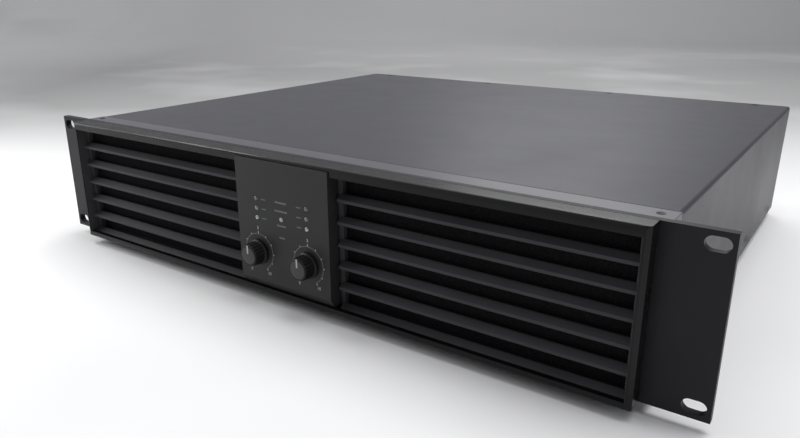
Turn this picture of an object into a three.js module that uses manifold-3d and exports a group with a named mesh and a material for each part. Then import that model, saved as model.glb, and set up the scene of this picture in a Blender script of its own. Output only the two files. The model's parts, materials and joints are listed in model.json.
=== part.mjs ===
// A two-channel PA power amplifier, two rack units high, for a 19 inch rack. Lengths are millimetres.
// X runs along the width, Y from front to back, Z upwards. While it is built, Y = 0 is the front face
// of the rack ears and Z = 0 the bottom edge of the rack panel. The finished group is then moved so
// that its origin lies under the middle of its box.

import * as THREE from 'three';
import { mergeVertices } from 'three/addons/utils/BufferGeometryUtils.js';
import Module from 'manifold-3d';

// Shared clearances and counts
const SEAT_GAP = 0.3;
const OVERRUN = 1;
const ROUND_STEPS = 24;
const SMALL_STEPS = 16;
const HOLE_STEPS = 12;
const BEND_STEPS = 3;
const SLOT_STEPS = 6;

// Rack panel with its ears and slots
const PANEL_WIDTH = 482.6;
const PANEL_HEIGHT = 88.1;
const PANEL_THICKNESS = 4;
const SLOT_LENGTH = 11;
const SLOT_HEIGHT = 6.8;
const SLOT_END_DISTANCE = 7.5;
const SLOT_EDGE_DISTANCE = 5.95;
const GRILLE_RIB = 3.5;
const PANEL_BORDER = 5.5;
const CENTRE_OPENING_WIDTH = 60;
const CENTRE_OPENING_MARGIN = 15;

// Chassis sheets
const EAR_REACH = 26.3;
const CHASSIS_DEPTH = 362.7;
const CHASSIS_RISE = 0.3;
const SHEET = 1.5;
const COVER_SHEET = 1.2;
const COVER_BEND = 2;
const FRAME_DEPTH = 13.7;
const FRAME_BORDER = 9;
const FRAME_RIB = 7.5;
const TRAY_FLANGE_HEIGHT = 12;
const REAR_FLANGE_DEPTH = 11;
const REAR_FLANGE_INSET = 14;

// Moulded front bezel
const BEZEL_END_STEP = 5;
const BEZEL_DEPTH = 11.5;
const BEZEL_FACE = 3.3;
const BEZEL_RIM = 1.2;
const NOTCH_RIM = 1.8;
const TOP_BAR = 5.1;
const BOTTOM_LIP = 4;
const END_POST = 3;
const END_CHAMFER = 2;

// Louvre inserts
const SLAT_ROWS = 6;
const SLAT_RECESS = 4.5;
const SLAT_DEPTH = 4.7;
const SLAT_HEIGHT = 4.2;
const SLAT_NOSE_HEIGHT = 1.8;
const SLAT_SLOPE_DEPTH = 3.6;
const TOP_ROW_DROP = 14.8;
const LOUVRE_BAR_WIDTH = 3.2;
const LOUVRE_BAR_DEPTH = 3.2;

// Control panel in the middle of the front
const MODULE_WIDTH = 73;
const MODULE_PROUD = 1;
const MODULE_WALL = 2;
const MODULE_CHAMFER_HEIGHT = 5.2;
const MODULE_CHAMFER_DEPTH = 3;
const BOSS_RADIUS = 3;
const BOSS_INSET = 6;

// Gain controls
const CHANNEL_SPACING = 40;
const KNOB_RISE = 28;
const KNOB_RADIUS = 8;
const KNOB_TIP_RADIUS = 7.2;
const KNOB_HEIGHT = 9;
const KNOB_TIP_HEIGHT = 1;
const KNOB_ROOF = 2;
const KNOB_LIFT = 0.5;
const POINTER_WIDTH = 1.2;
const POINTER_LENGTH = 5;
const POINTER_HEIGHT = 0.4;
const SHAFT_RADIUS = 3;
const SHAFT_GAP = 0.35;
const POT_SIDE = 16;
const POT_DEPTH = 9.5;
const POT_BORE_DEPTH = 6;

// Indicators
const LED_ROWS = 3;
const LED_TOP_DROP = 24;
const LED_PITCH = 6;
const LED_RADIUS = 1.5;
const PIPE_RADIUS = 1.4;
const PIPE_STRIP_WIDTH = 5;
const PIPE_STRIP_MARGIN = 3;
const PIPE_STRIP_THICKNESS = 1.5;
const PIPE_PROUD = 0.2;

// Boards
const BOARD_THICKNESS = 1.6;
const DISPLAY_BOARD_INSET = 1.5;
const DISPLAY_BOARD_SETBACK = 5.5;
const RIBBON_WIDTH = 20;
const RIBBON_THICKNESS = 1.2;
const RIBBON_X = 18;
const RIBBON_PLUG_DROP = 13.5;
const RIBBON_PLUG_HEIGHT = 6;
const RIBBON_PLUG_DEPTH = 6;
const RIBBON_SOCKET_HEIGHT = 12;
const RIBBON_SOCKET_INSET = 16;

// Feet
const FOOT_HEIGHT = 6;
const FOOT_TOP_RADIUS = 10;
const FOOT_TREAD_RADIUS = 8.5;
const FOOT_RECESS_RADIUS = 3.5;
const FOOT_RECESS_DEPTH = 3;
const FOOT_SIDE_INSET = 30;
const FOOT_END_INSET = 32;

// Mains inlet
const INLET_SIDE_INSET = 35;
const INLET_RISE = 28;
const INLET_FLANGE_WIDTH = 48;
const INLET_FLANGE_HEIGHT = 24;
const INLET_FLANGE_THICKNESS = 2.5;
const INLET_BODY_WIDTH = 28.2;
const INLET_BODY_HEIGHT = 20.6;
const INLET_BODY_DEPTH = 24;
const INLET_WALL = 1.8;
const INLET_SOCKET_DEPTH = 17;
const INLET_PIN_SPACING = 7;
const INLET_PIN_WIDTH = 2;
const INLET_PIN_HEIGHT = 4;
const INLET_PIN_LENGTH = 14;
const INLET_PIN_DROP = 2;
const INLET_EARTH_RISE = 2.5;

// Power switch
const SWITCH_CLEARANCE = 3;
const SWITCH_TOP_INSET = 25.1;
const SWITCH_FLANGE_WIDTH = 18;
const SWITCH_FLANGE_HEIGHT = 31;
const SWITCH_FLANGE_THICKNESS = 2;
const SWITCH_WALL = 1.3;
const SWITCH_BODY_DEPTH = 22;
const SWITCH_CAVITY_DEPTH = 9;
const ROCKER_WIDTH = 11;
const ROCKER_RADIUS = 11.6;
const ROCKER_TILT = 7;
const ROCKER_VALLEY = 2;
const ROCKER_HEEL = 3;
const ROCKER_GAP = 0.5;
const ROCKER_ARC_STEPS = 5;

// Circuit breaker
const BREAKER_RISE = 20;
const BREAKER_COLLAR_RADIUS = 8;
const BREAKER_COLLAR_HEIGHT = 4;
const BREAKER_THREAD_RADIUS = 5.5;
const BREAKER_BORE_RADIUS = 4;
const BREAKER_BORE_DEPTH = 12;
const BREAKER_BODY_WIDTH = 15;
const BREAKER_BODY_HEIGHT = 24;
const BREAKER_BODY_DEPTH = 28;
const BREAKER_BUTTON_LENGTH = 12;

// Microphone-type input sockets
const SOCKET_SPACING = 35;
const SOCKET_SIDE_INSET = 47.5;
const SOCKET_TOP_INSET = 28.1;
const SOCKET_FLANGE_WIDTH = 26;
const SOCKET_FLANGE_HEIGHT = 31;
const SOCKET_FLANGE_THICKNESS = 4;
const SOCKET_SHELL_RADIUS = 11.8;
const SOCKET_BORE_RADIUS = 9.9;
const SOCKET_BORE_DEPTH = 19;
const SOCKET_BACK = 2.6;
const SOCKET_INSERT_RADIUS = 7.8;
const SOCKET_INSERT_RECESS = 1.5;
const SOCKET_PINS = 3;
const SOCKET_PIN_CIRCLE = 4;
const SOCKET_PIN_RADIUS = 1.25;
const SOCKET_PIN_DEPTH = 12;
const LATCH_WIDTH = 8;
const LATCH_HEIGHT = 2.6;
const LATCH_LENGTH = 3.4;
const LATCH_POCKET_DEPTH = 3.4;
const LATCH_TRAVEL = 1.5;
const LATCH_RISE = 12.6;

// Mode switch
const MODE_RISE = 26;
const MODE_BODY_WIDTH = 24;
const MODE_BODY_HEIGHT = 12;
const MODE_BODY_DEPTH = 8;
const MODE_TRAVEL = 8;
const MODE_SLIDER_SIDE = 4;
const MODE_SLIDER_PROUD = 3;
const MODE_POCKET_DEPTH = 3;

// Loudspeaker terminals
const TERMINAL_PITCH = 19;
const TERMINAL_PLATE_WIDTH = 44;
const TERMINAL_PLATE_HEIGHT = 26;
const TERMINAL_PLATE_THICKNESS = 4;
const TERMINAL_COLLAR_RADIUS = 8;
const TERMINAL_COLLAR_HEIGHT = 5;
const TERMINAL_STUD_RADIUS = 3.5;
const TERMINAL_STUD_LENGTH = 15;
const TERMINAL_SOCKET_RADIUS = 2.1;
const TERMINAL_SOCKET_DEPTH = 14;
const TERMINAL_TAIL_RADIUS = 4;
const TERMINAL_TAIL_LENGTH = 14;
const CAP_RADIUS = 8;
const CAP_LENGTH = 16;
const CAP_CHAMFER = 1.5;

// Fan
const FAN_MARGIN = 4.05;
const FAN_DEPTH = 25;
const FAN_RIM = 2;
const FAN_STRUT_DEPTH = 4;
const FAN_STRUT_WIDTH = 4;
const FAN_STRUTS = 4;
const FAN_MOTOR_RADIUS = 16;
const FAN_HUB_RADIUS = 17;
const FAN_HUB_DEPTH = 13;
const FAN_TIP_GAP = 0.8;
const FAN_BLADES = 7;
const FAN_BLADE_THICKNESS = 1.6;
const FAN_BLADE_PITCH = 38;
const FAN_HOLE_INSET = 4.25;
const FAN_HOLE_RADIUS = 2.2;
const GUARD_RINGS = 4;
const GUARD_PITCH = 9;
const GUARD_WIRE = 2;
const GUARD_EYE_RADIUS = 4;

// Mains transformer
const TRANSFORMER_RADIUS = 68;
const TRANSFORMER_HOLE_RADIUS = 22;
const TRANSFORMER_HEIGHT = 60;
const TRANSFORMER_EDGE = 9;
const TRANSFORMER_STEPS = 28;
const TRANSFORMER_SIDE_CLEARANCE = 4;
const TRANSFORMER_FRONT_CLEARANCE = 20.7;
const CLAMP_RADIUS = 34;
const CLAMP_THICKNESS = 2.5;
const CLAMP_BOLT_RADIUS = 4;
const CLAMP_NUT_RADIUS = 7.5;
const CLAMP_NUT_HEIGHT = 6;

// Heatsinks and output boards
const TUNNEL_HALF_GAP = 8;
const SINK_BASE = 8;
const SINK_WIDTH = 72;
const SINK_BACK_CLEARANCE = 15;
const SINK_FINS = 8;
const SINK_FIN_THICKNESS = 2.2;
const SINK_FOOT = 7;
const SINK_TOP_CLEARANCE = 4;
const TRANSISTORS = 5;
const TRANSISTOR_THICKNESS = 4.6;
const TRANSISTOR_WIDTH = 16;
const TRANSISTOR_HEIGHT = 20;
const TRANSISTOR_RISE = 44;
const LEAD_THICKNESS = 0.8;
const OUTPUT_BOARD_MARGIN = 8;
const OUTPUT_BOARD_WIDTH = 50;
const OUTPUT_COIL_RADIUS = 11;
const OUTPUT_COIL_LENGTH = 22;
const RELAY_LENGTH = 28;
const RELAY_HEIGHT = 24;
const RELAY_DEPTH = 16;
const OUTPUT_PART_INSET = 30;

// Power supply
const SUPPLY_SIDE_CLEARANCE = 12;
const SUPPLY_FRONT_CLEARANCE = 17.7;
const SUPPLY_BOARD_LENGTH = 112;
const STANDOFF_HEIGHT = 6;
const STANDOFF_RADIUS = 3;
const STANDOFF_INSET = 6;
const CAPACITOR_RADIUS = 17.5;
const CAPACITOR_HEIGHT = 52;
const CAPACITOR_GROOVE_RISE = 45;
const CAPACITOR_GROOVE = 1.2;
const CAPACITOR_GAP = 5;
const CAPACITOR_EDGE_GAP = 2.5;
const CAPACITORS = 4;
const RECTIFIER_SIDE = 29;
const RECTIFIER_HEIGHT = 10;
const RECTIFIER_CLEARANCE = 6.75;
const RECTIFIER_TAB_WIDTH = 6;
const RECTIFIER_TAB_THICKNESS = 1;
const RECTIFIER_TAB_HEIGHT = 8;
const RECTIFIER_TAB_INSET = 7;

// Input board
const INPUT_BOARD_WIDTH = 78;
const INPUT_BOARD_LOW_RISE = 14;
const INPUT_BOARD_TOP_MARGIN = 8.1;
const INPUT_CHIP_ROWS = 3;
const INPUT_CHIP_WIDTH = 20;
const INPUT_CHIP_HEIGHT = 8;
const INPUT_CHIP_DEPTH = 4;
const INPUT_CHIP_PITCH = 18;

// Levels and planes worked out from the sizes above
const panelHalf = PANEL_WIDTH / 2;
const chassisHalf = panelHalf - EAR_REACH;
const bezelHalf = chassisHalf - BEZEL_END_STEP;
const chassisLow = CHASSIS_RISE;
const chassisHigh = PANEL_HEIGHT - CHASSIS_RISE;
const floorLevel = chassisLow + SHEET;
const seatLevel = floorLevel + SEAT_GAP;
const roofLevel = chassisHigh - COVER_SHEET;
const frameFront = PANEL_THICKNESS + SEAT_GAP;
const frameBack = frameFront + FRAME_DEPTH;
const coverFront = frameBack + SEAT_GAP;
const chassisBack = frameFront + CHASSIS_DEPTH;
const rearPanelFront = chassisBack - SHEET;
const trayBack = rearPanelFront - SEAT_GAP;
const trayHalf = chassisHalf - COVER_SHEET - SEAT_GAP;
const boardSeat = seatLevel + STANDOFF_HEIGHT;
const switchBodyWidth = ROCKER_WIDTH + 2 * (ROCKER_GAP + SWITCH_WALL);
const switchBodyHeight = 2 * (ROCKER_RADIUS + ROCKER_GAP + SWITCH_WALL);

const bezelFront = -BEZEL_DEPTH;
const frontPlane = -SEAT_GAP;
const bezelInnerFront = bezelFront + BEZEL_FACE;
const openingHalf = bezelHalf - END_POST;
const openingLow = BOTTOM_LIP;
const openingHigh = PANEL_HEIGHT - TOP_BAR;
const moduleHalf = MODULE_WIDTH / 2;
const moduleFront = bezelFront - MODULE_PROUD;
const moduleInnerFront = moduleFront + MODULE_WALL;
const moduleLow = openingLow + SEAT_GAP;
const moduleHigh = PANEL_HEIGHT - NOTCH_RIM - SEAT_GAP;
const channelX = CHANNEL_SPACING / 2;

const windowInner = moduleHalf + GRILLE_RIB;
const windowOuter = openingHalf - GRILLE_RIB;
const windowLow = PANEL_BORDER;
const windowHigh = PANEL_HEIGHT - PANEL_BORDER;
const displayFront = moduleInnerFront + DISPLAY_BOARD_SETBACK;
const displayBack = displayFront + BOARD_THICKNESS;
const boardHalf = moduleHalf - MODULE_WALL - DISPLAY_BOARD_INSET;
const boardLow = moduleLow + MODULE_CHAMFER_HEIGHT + MODULE_WALL;
const boardHigh = moduleHigh - MODULE_WALL - DISPLAY_BOARD_INSET;

const ledTopRise = moduleHigh - LED_TOP_DROP;
const ribbonPlugRise = boardHigh - RIBBON_PLUG_DROP;

const transformerX = TRANSFORMER_RADIUS + TRANSFORMER_SIDE_CLEARANCE + SHEET - trayHalf;
const transformerY = coverFront + TRANSFORMER_FRONT_CLEARANCE + TRANSFORMER_RADIUS;
const supplyLeft = transformerX + TRANSFORMER_RADIUS + SUPPLY_SIDE_CLEARANCE;
const supplyRight = trayHalf - SHEET - SUPPLY_SIDE_CLEARANCE;
const supplyFront = coverFront + SUPPLY_FRONT_CLEARANCE;
const supplyBack = supplyFront + SUPPLY_BOARD_LENGTH;
const ribbonDropY = supplyFront + RIBBON_SOCKET_INSET;
const rectifierX = supplyLeft + RECTIFIER_SIDE / 2;
const rectifierY = supplyBack + RECTIFIER_CLEARANCE + RECTIFIER_SIDE / 2;

const sinkBack = trayBack - FAN_DEPTH - SINK_BACK_CLEARANCE;
const sinkFront = rectifierY + RECTIFIER_SIDE / 2 + RECTIFIER_CLEARANCE;
const sinkOuter = TUNNEL_HALF_GAP + SINK_WIDTH;
const sinkHigh = roofLevel - SINK_TOP_CLEARANCE;

const middleRise = PANEL_HEIGHT / 2;
const fanSide = PANEL_HEIGHT - 2 * FAN_MARGIN;
const fanBore = fanSide / 2 - FAN_RIM;
const fanHole = fanSide / 2 - FAN_HOLE_INSET;
const inletX = INLET_SIDE_INSET - chassisHalf;
const switchX = inletX + INLET_FLANGE_WIDTH / 2 + SWITCH_CLEARANCE + SWITCH_FLANGE_WIDTH / 2;
const switchRise = PANEL_HEIGHT - SWITCH_TOP_INSET;
const socketMiddleX = chassisHalf - SOCKET_SIDE_INSET;
const socketRise = PANEL_HEIGHT - SOCKET_TOP_INSET;
const socketsInner = socketMiddleX - (SOCKET_SPACING + SOCKET_FLANGE_WIDTH) / 2;
const terminalX = (fanSide / 2 + socketsInner) / 2;
const inputBoardBack = SOCKET_FLANGE_THICKNESS + SEAT_GAP - SOCKET_BORE_DEPTH - SOCKET_BACK - SEAT_GAP;

const wasm = await Module();
wasm.setup();

// Weld a geometry's shared corners and hand it over as a solid that can be joined and cut.
function solidOf(geometry) {
  const bare = geometry.clone();
  bare.deleteAttribute('normal');
  bare.deleteAttribute('uv');
  const welded = mergeVertices(bare);
  const corners = welded.index.array;
  const kept = [];
  for (let i = 0; i < corners.length; i += 3) {
    const triangle = corners.slice(i, i + 3);
    if (new Set(triangle).size === 3) kept.push(...triangle);
  }
  const vertProperties = new Float32Array(welded.attributes.position.array);
  const triVerts = new Uint32Array(kept);
  return new wasm.Manifold(new wasm.Mesh({ numProp: 3, vertProperties, triVerts }));
}

function geometryOf(solid) {
  const mesh = solid.getMesh();
  const geometry = new THREE.BufferGeometry();
  geometry.setAttribute('position', new THREE.BufferAttribute(new Float32Array(mesh.vertProperties), 3));
  geometry.setIndex(new THREE.BufferAttribute(new Uint32Array(mesh.triVerts), 1));
  geometry.computeVertexNormals();
  return geometry;
}

// Join the geometries of one list and take those of another away.
function shape(pieces, cuts = []) {
  let solid = solidOf(pieces[0]);
  for (const extra of pieces.slice(1)) solid = solid.add(solidOf(extra));
  for (const cut of cuts) solid = solid.subtract(solidOf(cut));
  return geometryOf(solid);
}

function block(x0, x1, y0, y1, z0, z1) {
  const geometry = new THREE.BoxGeometry(x1 - x0, y1 - y0, z1 - z0);
  geometry.translate((x0 + x1) / 2, (y0 + y1) / 2, (z0 + z1) / 2);
  return geometry;
}

// A block whose width and height lie evenly about the Y axis.
function centred(width, height, y0, y1) {
  return block(-width / 2, width / 2, y0, y1, -height / 2, height / 2);
}

function outlineOf(points) {
  return new THREE.Shape(points.map(([a, b]) => new THREE.Vector2(a, b)));
}

function rectangle(a0, a1, b0, b1) {
  return [[a0, b0], [a1, b0], [a1, b1], [a0, b1]];
}

function extruded(outline, depth, curveSegments = BEND_STEPS) {
  return new THREE.ExtrudeGeometry(outline, { depth, bevelEnabled: false, curveSegments });
}

// An outline in Y and Z, drawn out along X.
function alongX(points, x0, x1) {
  const geometry = extruded(outlineOf(points), x1 - x0);
  const toX = new THREE.Matrix4().makeBasis(
    new THREE.Vector3(0, 1, 0),
    new THREE.Vector3(0, 0, 1),
    new THREE.Vector3(1, 0, 0),
  );
  geometry.applyMatrix4(toX);
  geometry.translate(x0, 0, 0);
  return geometry;
}

// An outline in X and Z, drawn out along Y.
function alongY(outline, y0, y1, steps = BEND_STEPS) {
  const geometry = extruded(outline, y1 - y0, steps);
  geometry.rotateX(Math.PI / 2);
  geometry.translate(0, y1, 0);
  return geometry;
}

// An outline in X and Y, drawn out along Z.
function alongZ(points, z0, z1) {
  const geometry = extruded(outlineOf(points), z1 - z0);
  geometry.translate(0, 0, z0);
  return geometry;
}

// A round bar along Y.
function rod(radius, y0, y1, x = 0, z = 0, steps = SMALL_STEPS) {
  const geometry = new THREE.CylinderGeometry(radius, radius, y1 - y0, steps);
  geometry.translate(x, (y0 + y1) / 2, z);
  return geometry;
}

// A round bar along Z.
function post(radius, z0, z1, x, y, steps = HOLE_STEPS) {
  const geometry = new THREE.CylinderGeometry(radius, radius, z1 - z0, steps);
  geometry.rotateX(Math.PI / 2);
  geometry.translate(x, y, (z0 + z1) / 2);
  return geometry;
}

// A profile of radius and height, turned round the Y axis.
function turned(profile, steps) {
  const points = profile.map(([r, h]) => new THREE.Vector2(r, h));
  return geometryOf(solidOf(new THREE.LatheGeometry(points, steps)));
}

// The same, turned round the Z axis.
function turnedUp(profile, steps) {
  const geometry = turned(profile, steps);
  geometry.rotateX(Math.PI / 2);
  return geometry;
}

function slotHole(x, z, length, height) {
  const radius = height / 2;
  const reach = (length - height) / 2;
  const hole = new THREE.Path();
  hole.absarc(x + reach, z, radius, -Math.PI / 2, Math.PI / 2, false);
  hole.absarc(x - reach, z, radius, Math.PI / 2, (3 * Math.PI) / 2, false);
  return hole;
}

function rectangularHole(x0, x1, z0, z1) {
  return new THREE.Path(rectangle(x0, x1, z0, z1).map(([a, b]) => new THREE.Vector2(a, b)));
}

// Finishes: colour, roughness and metalness of each kind of surface
const FINISHES = {
  panelPaint: [0x1d1e22, 0.45, 0.3],
  coverPaint: [0x2b2c30, 0.5, 0.3],
  bezelPlastic: [0x1b1c20, 0.5, 0],
  modulePlastic: [0x2a2a2b, 0.55, 0],
  knobPlastic: [0x101011, 0.5, 0],
  foam: [0x0b0b0c, 0.95, 0],
  clearPlastic: [0xb9b9b4, 0.3, 0],
  blackPlastic: [0x141415, 0.5, 0],
  redPlastic: [0x8f1a16, 0.45, 0],
  rubber: [0x111111, 0.9, 0],
  circuitBoard: [0x1f4a2c, 0.6, 0],
  zincSteel: [0x9a9c9e, 0.4, 0.9],
  aluminium: [0xa3a6a9, 0.45, 0.9],
  nickel: [0xb4b2ac, 0.3, 1],
  windingTape: [0x8a6a2a, 0.55, 0],
  capacitorSleeve: [0x18233b, 0.5, 0],
  ribbonGrey: [0x8c8f93, 0.7, 0],
};

const amplifier = new THREE.Group();

function piece(name, geometry, finish, parent = amplifier) {
  const [color, roughness, metalness] = FINISHES[finish];
  const mesh = new THREE.Mesh(geometry, new THREE.MeshStandardMaterial({ color, roughness, metalness }));
  mesh.name = name;
  parent.add(mesh);
  return mesh;
}

function groupAt(x, y, z, parent = amplifier) {
  const group = new THREE.Group();
  group.position.set(x, y, z);
  parent.add(group);
  return group;
}

// Rack panel: ears, one window for each grille and an opening for the controls. Between the ears its
// back is relieved, so that the ears end level with the chassis that sits there.
function rackPanel() {
  const outline = outlineOf(rectangle(-panelHalf, panelHalf, 0, PANEL_HEIGHT));
  const slotX = panelHalf - SLOT_END_DISTANCE;
  for (const x of [-slotX, slotX]) {
    for (const z of [SLOT_EDGE_DISTANCE, PANEL_HEIGHT - SLOT_EDGE_DISTANCE]) {
      outline.holes.push(slotHole(x, z, SLOT_LENGTH, SLOT_HEIGHT));
    }
  }
  const front = -OVERRUN;
  const back = frameFront + OVERRUN;
  const reliefHalf = chassisHalf + SEAT_GAP;
  const centreHalf = CENTRE_OPENING_WIDTH / 2;
  return shape([alongY(outline, 0, frameFront, SLOT_STEPS)], [
    block(-reliefHalf, reliefHalf, PANEL_THICKNESS, back, front, PANEL_HEIGHT + OVERRUN),
    block(-windowOuter, -windowInner, front, back, windowLow, windowHigh),
    block(windowInner, windowOuter, front, back, windowLow, windowHigh),
    block(-centreHalf, centreHalf, front, back, CENTRE_OPENING_MARGIN, windowHigh),
  ]);
}

// Bezel: a hollow frame with chamfered ends, open for the two grilles and the control panel
function frontBezel() {
  const body = alongZ([
    [-bezelHalf, frontPlane],
    [-bezelHalf, bezelFront + END_CHAMFER],
    [-bezelHalf + END_CHAMFER, bezelFront],
    [bezelHalf - END_CHAMFER, bezelFront],
    [bezelHalf, bezelFront + END_CHAMFER],
    [bezelHalf, frontPlane],
  ], 0, PANEL_HEIGHT);
  const insideHalf = bezelHalf - BEZEL_RIM - END_CHAMFER / 2;
  const inside = block(
    -insideHalf, insideHalf,
    bezelInnerFront, frontPlane + OVERRUN,
    BEZEL_RIM, PANEL_HEIGHT - BEZEL_RIM,
  );
  const opening = block(
    -openingHalf, openingHalf,
    bezelFront - OVERRUN, bezelInnerFront + OVERRUN,
    openingLow, openingHigh,
  );
  const notchHalf = moduleHalf + SEAT_GAP;
  const notch = block(
    -notchHalf, notchHalf,
    bezelFront - OVERRUN, bezelInnerFront + OVERRUN,
    openingLow + OVERRUN, PANEL_HEIGHT - NOTCH_RIM,
  );
  return shape([body], [inside, opening, notch]);
}

// One louvre insert, drawn for the right side: sloped slats held by a bar at each end
function louvre() {
  const inner = moduleHalf + SEAT_GAP;
  const outer = bezelHalf - BEZEL_RIM - END_CHAMFER / 2 - SEAT_GAP;
  const low = BEZEL_RIM + SEAT_GAP;
  const high = PANEL_HEIGHT - BEZEL_RIM - SEAT_GAP;
  const nose = bezelFront + SLAT_RECESS;
  const barFront = frontPlane - LOUVRE_BAR_DEPTH;
  const topRow = openingHigh - TOP_ROW_DROP;
  const pieces = [
    block(inner, inner + LOUVRE_BAR_WIDTH, barFront, frontPlane, low, high),
    block(outer - LOUVRE_BAR_WIDTH, outer, barFront, frontPlane, low, high),
    block(inner, outer, barFront, frontPlane, high - LOUVRE_BAR_WIDTH, high),
  ];
  for (let row = 0; row < SLAT_ROWS; row += 1) {
    const base = low + ((topRow - low) * row) / (SLAT_ROWS - 1);
    pieces.push(alongX([
      [nose, base],
      [nose + SLAT_DEPTH, base],
      [nose + SLAT_DEPTH, base + SLAT_HEIGHT],
      [nose + SLAT_SLOPE_DEPTH, base + SLAT_HEIGHT],
      [nose, base + SLAT_NOSE_HEIGHT],
    ], inner + LOUVRE_BAR_WIDTH / 2, outer));
  }
  return shape(pieces);
}

function dustFilter() {
  return block(
    windowInner + SEAT_GAP, windowOuter - SEAT_GAP,
    0, PANEL_THICKNESS,
    windowLow + SEAT_GAP, windowHigh - SEAT_GAP,
  );
}

// Control panel: a hollow moulding with a chamfered foot, bored for the shafts and light pipes
function controlPanel() {
  const outer = alongX([
    [moduleFront, moduleLow + MODULE_CHAMFER_HEIGHT],
    [moduleFront + MODULE_CHAMFER_DEPTH, moduleLow],
    [frontPlane, moduleLow],
    [frontPlane, moduleHigh],
    [moduleFront, moduleHigh],
  ], -moduleHalf, moduleHalf);
  const insideHalf = moduleHalf - MODULE_WALL;
  const inside = alongX([
    [moduleInnerFront, moduleLow + MODULE_CHAMFER_HEIGHT + MODULE_WALL / 2],
    [moduleInnerFront + MODULE_CHAMFER_DEPTH, moduleLow + MODULE_WALL],
    [frontPlane + OVERRUN, moduleLow + MODULE_WALL],
    [frontPlane + OVERRUN, moduleHigh - MODULE_WALL],
    [moduleInnerFront, moduleHigh - MODULE_WALL],
  ], -insideHalf, insideHalf);
  const bosses = [];
  for (const x of [-boardHalf + BOSS_INSET, boardHalf - BOSS_INSET]) {
    for (const z of [boardLow + BOSS_INSET, boardHigh - BOSS_INSET]) {
      bosses.push(rod(BOSS_RADIUS, moduleFront + MODULE_WALL / 2, displayFront - SEAT_GAP, x, z, HOLE_STEPS));
    }
  }
  const cuts = [];
  for (const x of [-channelX, channelX]) {
    const holeFront = moduleFront - OVERRUN;
    const holeBack = moduleInnerFront + OVERRUN;
    cuts.push(rod(SHAFT_RADIUS + SHAFT_GAP, holeFront, holeBack, x, KNOB_RISE, HOLE_STEPS));
    for (let row = 0; row < LED_ROWS; row += 1) {
      const z = ledTopRise - row * LED_PITCH;
      cuts.push(rod(PIPE_RADIUS + SEAT_GAP, holeFront, holeBack, x, z, HOLE_STEPS));
    }
  }
  return shape([shape([outer], [inside]), ...bosses], cuts);
}

// Light pipe: a clear strip behind the panel with a rod through each indicator hole
function lightPipe() {
  const stripFront = moduleInnerFront + SEAT_GAP;
  const stripBack = stripFront + PIPE_STRIP_THICKNESS;
  const stripLow = ledTopRise - (LED_ROWS - 1) * LED_PITCH - PIPE_STRIP_MARGIN;
  const stripHigh = ledTopRise + PIPE_STRIP_MARGIN;
  const pieces = [block(
    -PIPE_STRIP_WIDTH / 2, PIPE_STRIP_WIDTH / 2,
    stripFront, stripBack,
    stripLow, stripHigh,
  )];
  for (let row = 0; row < LED_ROWS; row += 1) {
    const z = ledTopRise - row * LED_PITCH;
    pieces.push(rod(PIPE_RADIUS, moduleFront - PIPE_PROUD, (stripFront + stripBack) / 2, 0, z, HOLE_STEPS));
  }
  return shape(pieces);
}

// Display board with its lamps, shaft holes and the socket for the ribbon cable
function displayBoard() {
  const lampFront = moduleInnerFront + SEAT_GAP + PIPE_STRIP_THICKNESS + SEAT_GAP;
  const pieces = [
    block(-boardHalf, boardHalf, displayFront, displayBack, boardLow, boardHigh),
    block(
      RIBBON_X - RIBBON_WIDTH / 2, RIBBON_X + RIBBON_WIDTH / 2,
      displayFront + BOARD_THICKNESS / 2, displayBack + RIBBON_PLUG_DEPTH,
      ribbonPlugRise - RIBBON_PLUG_HEIGHT / 2, ribbonPlugRise + RIBBON_PLUG_HEIGHT / 2,
    ),
  ];
  const cuts = [];
  for (const x of [-channelX, channelX]) {
    cuts.push(rod(
      SHAFT_RADIUS + SHAFT_GAP,
      displayFront - OVERRUN, displayBack + OVERRUN,
      x, KNOB_RISE, HOLE_STEPS,
    ));
    for (let row = 0; row < LED_ROWS; row += 1) {
      const z = ledTopRise - row * LED_PITCH;
      pieces.push(rod(LED_RADIUS, lampFront, displayFront + BOARD_THICKNESS / 2, x, z, HOLE_STEPS));
    }
  }
  return shape(pieces, cuts);
}

// Gain control, in a frame whose Y axis is the shaft
function gainPot() {
  const front = displayBack + SEAT_GAP;
  const body = block(-POT_SIDE / 2, POT_SIDE / 2, front, front + POT_DEPTH, -POT_SIDE / 2, POT_SIDE / 2);
  const bore = rod(SHAFT_RADIUS + SHAFT_GAP, front - OVERRUN, front + POT_BORE_DEPTH, 0, 0, HOLE_STEPS);
  return shape([body], [bore]);
}

function potShaft() {
  const back = displayBack + POT_BORE_DEPTH;
  const front = moduleFront - KNOB_LIFT - KNOB_HEIGHT + KNOB_ROOF + SEAT_GAP;
  return rod(SHAFT_RADIUS, front, back, 0, 0, HOLE_STEPS);
}

// Gain knob: blind bore behind, a small chamfer in front and a raised pointer line
function gainKnob() {
  const back = moduleFront - KNOB_LIFT;
  const front = back - KNOB_HEIGHT;
  const bore = SHAFT_RADIUS + SEAT_GAP;
  const body = turned([
    [0, front],
    [KNOB_TIP_RADIUS, front],
    [KNOB_RADIUS, front + KNOB_TIP_HEIGHT],
    [KNOB_RADIUS, back],
    [bore, back],
    [bore, front + KNOB_ROOF],
    [0, front + KNOB_ROOF],
  ], ROUND_STEPS);
  const pointer = block(
    -POINTER_WIDTH / 2, POINTER_WIDTH / 2,
    front - POINTER_HEIGHT, front + POINTER_HEIGHT,
    KNOB_TIP_RADIUS - KNOB_TIP_HEIGHT / 2 - POINTER_LENGTH, KNOB_TIP_RADIUS - KNOB_TIP_HEIGHT / 2,
  );
  return shape([body, pointer]);
}

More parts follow.
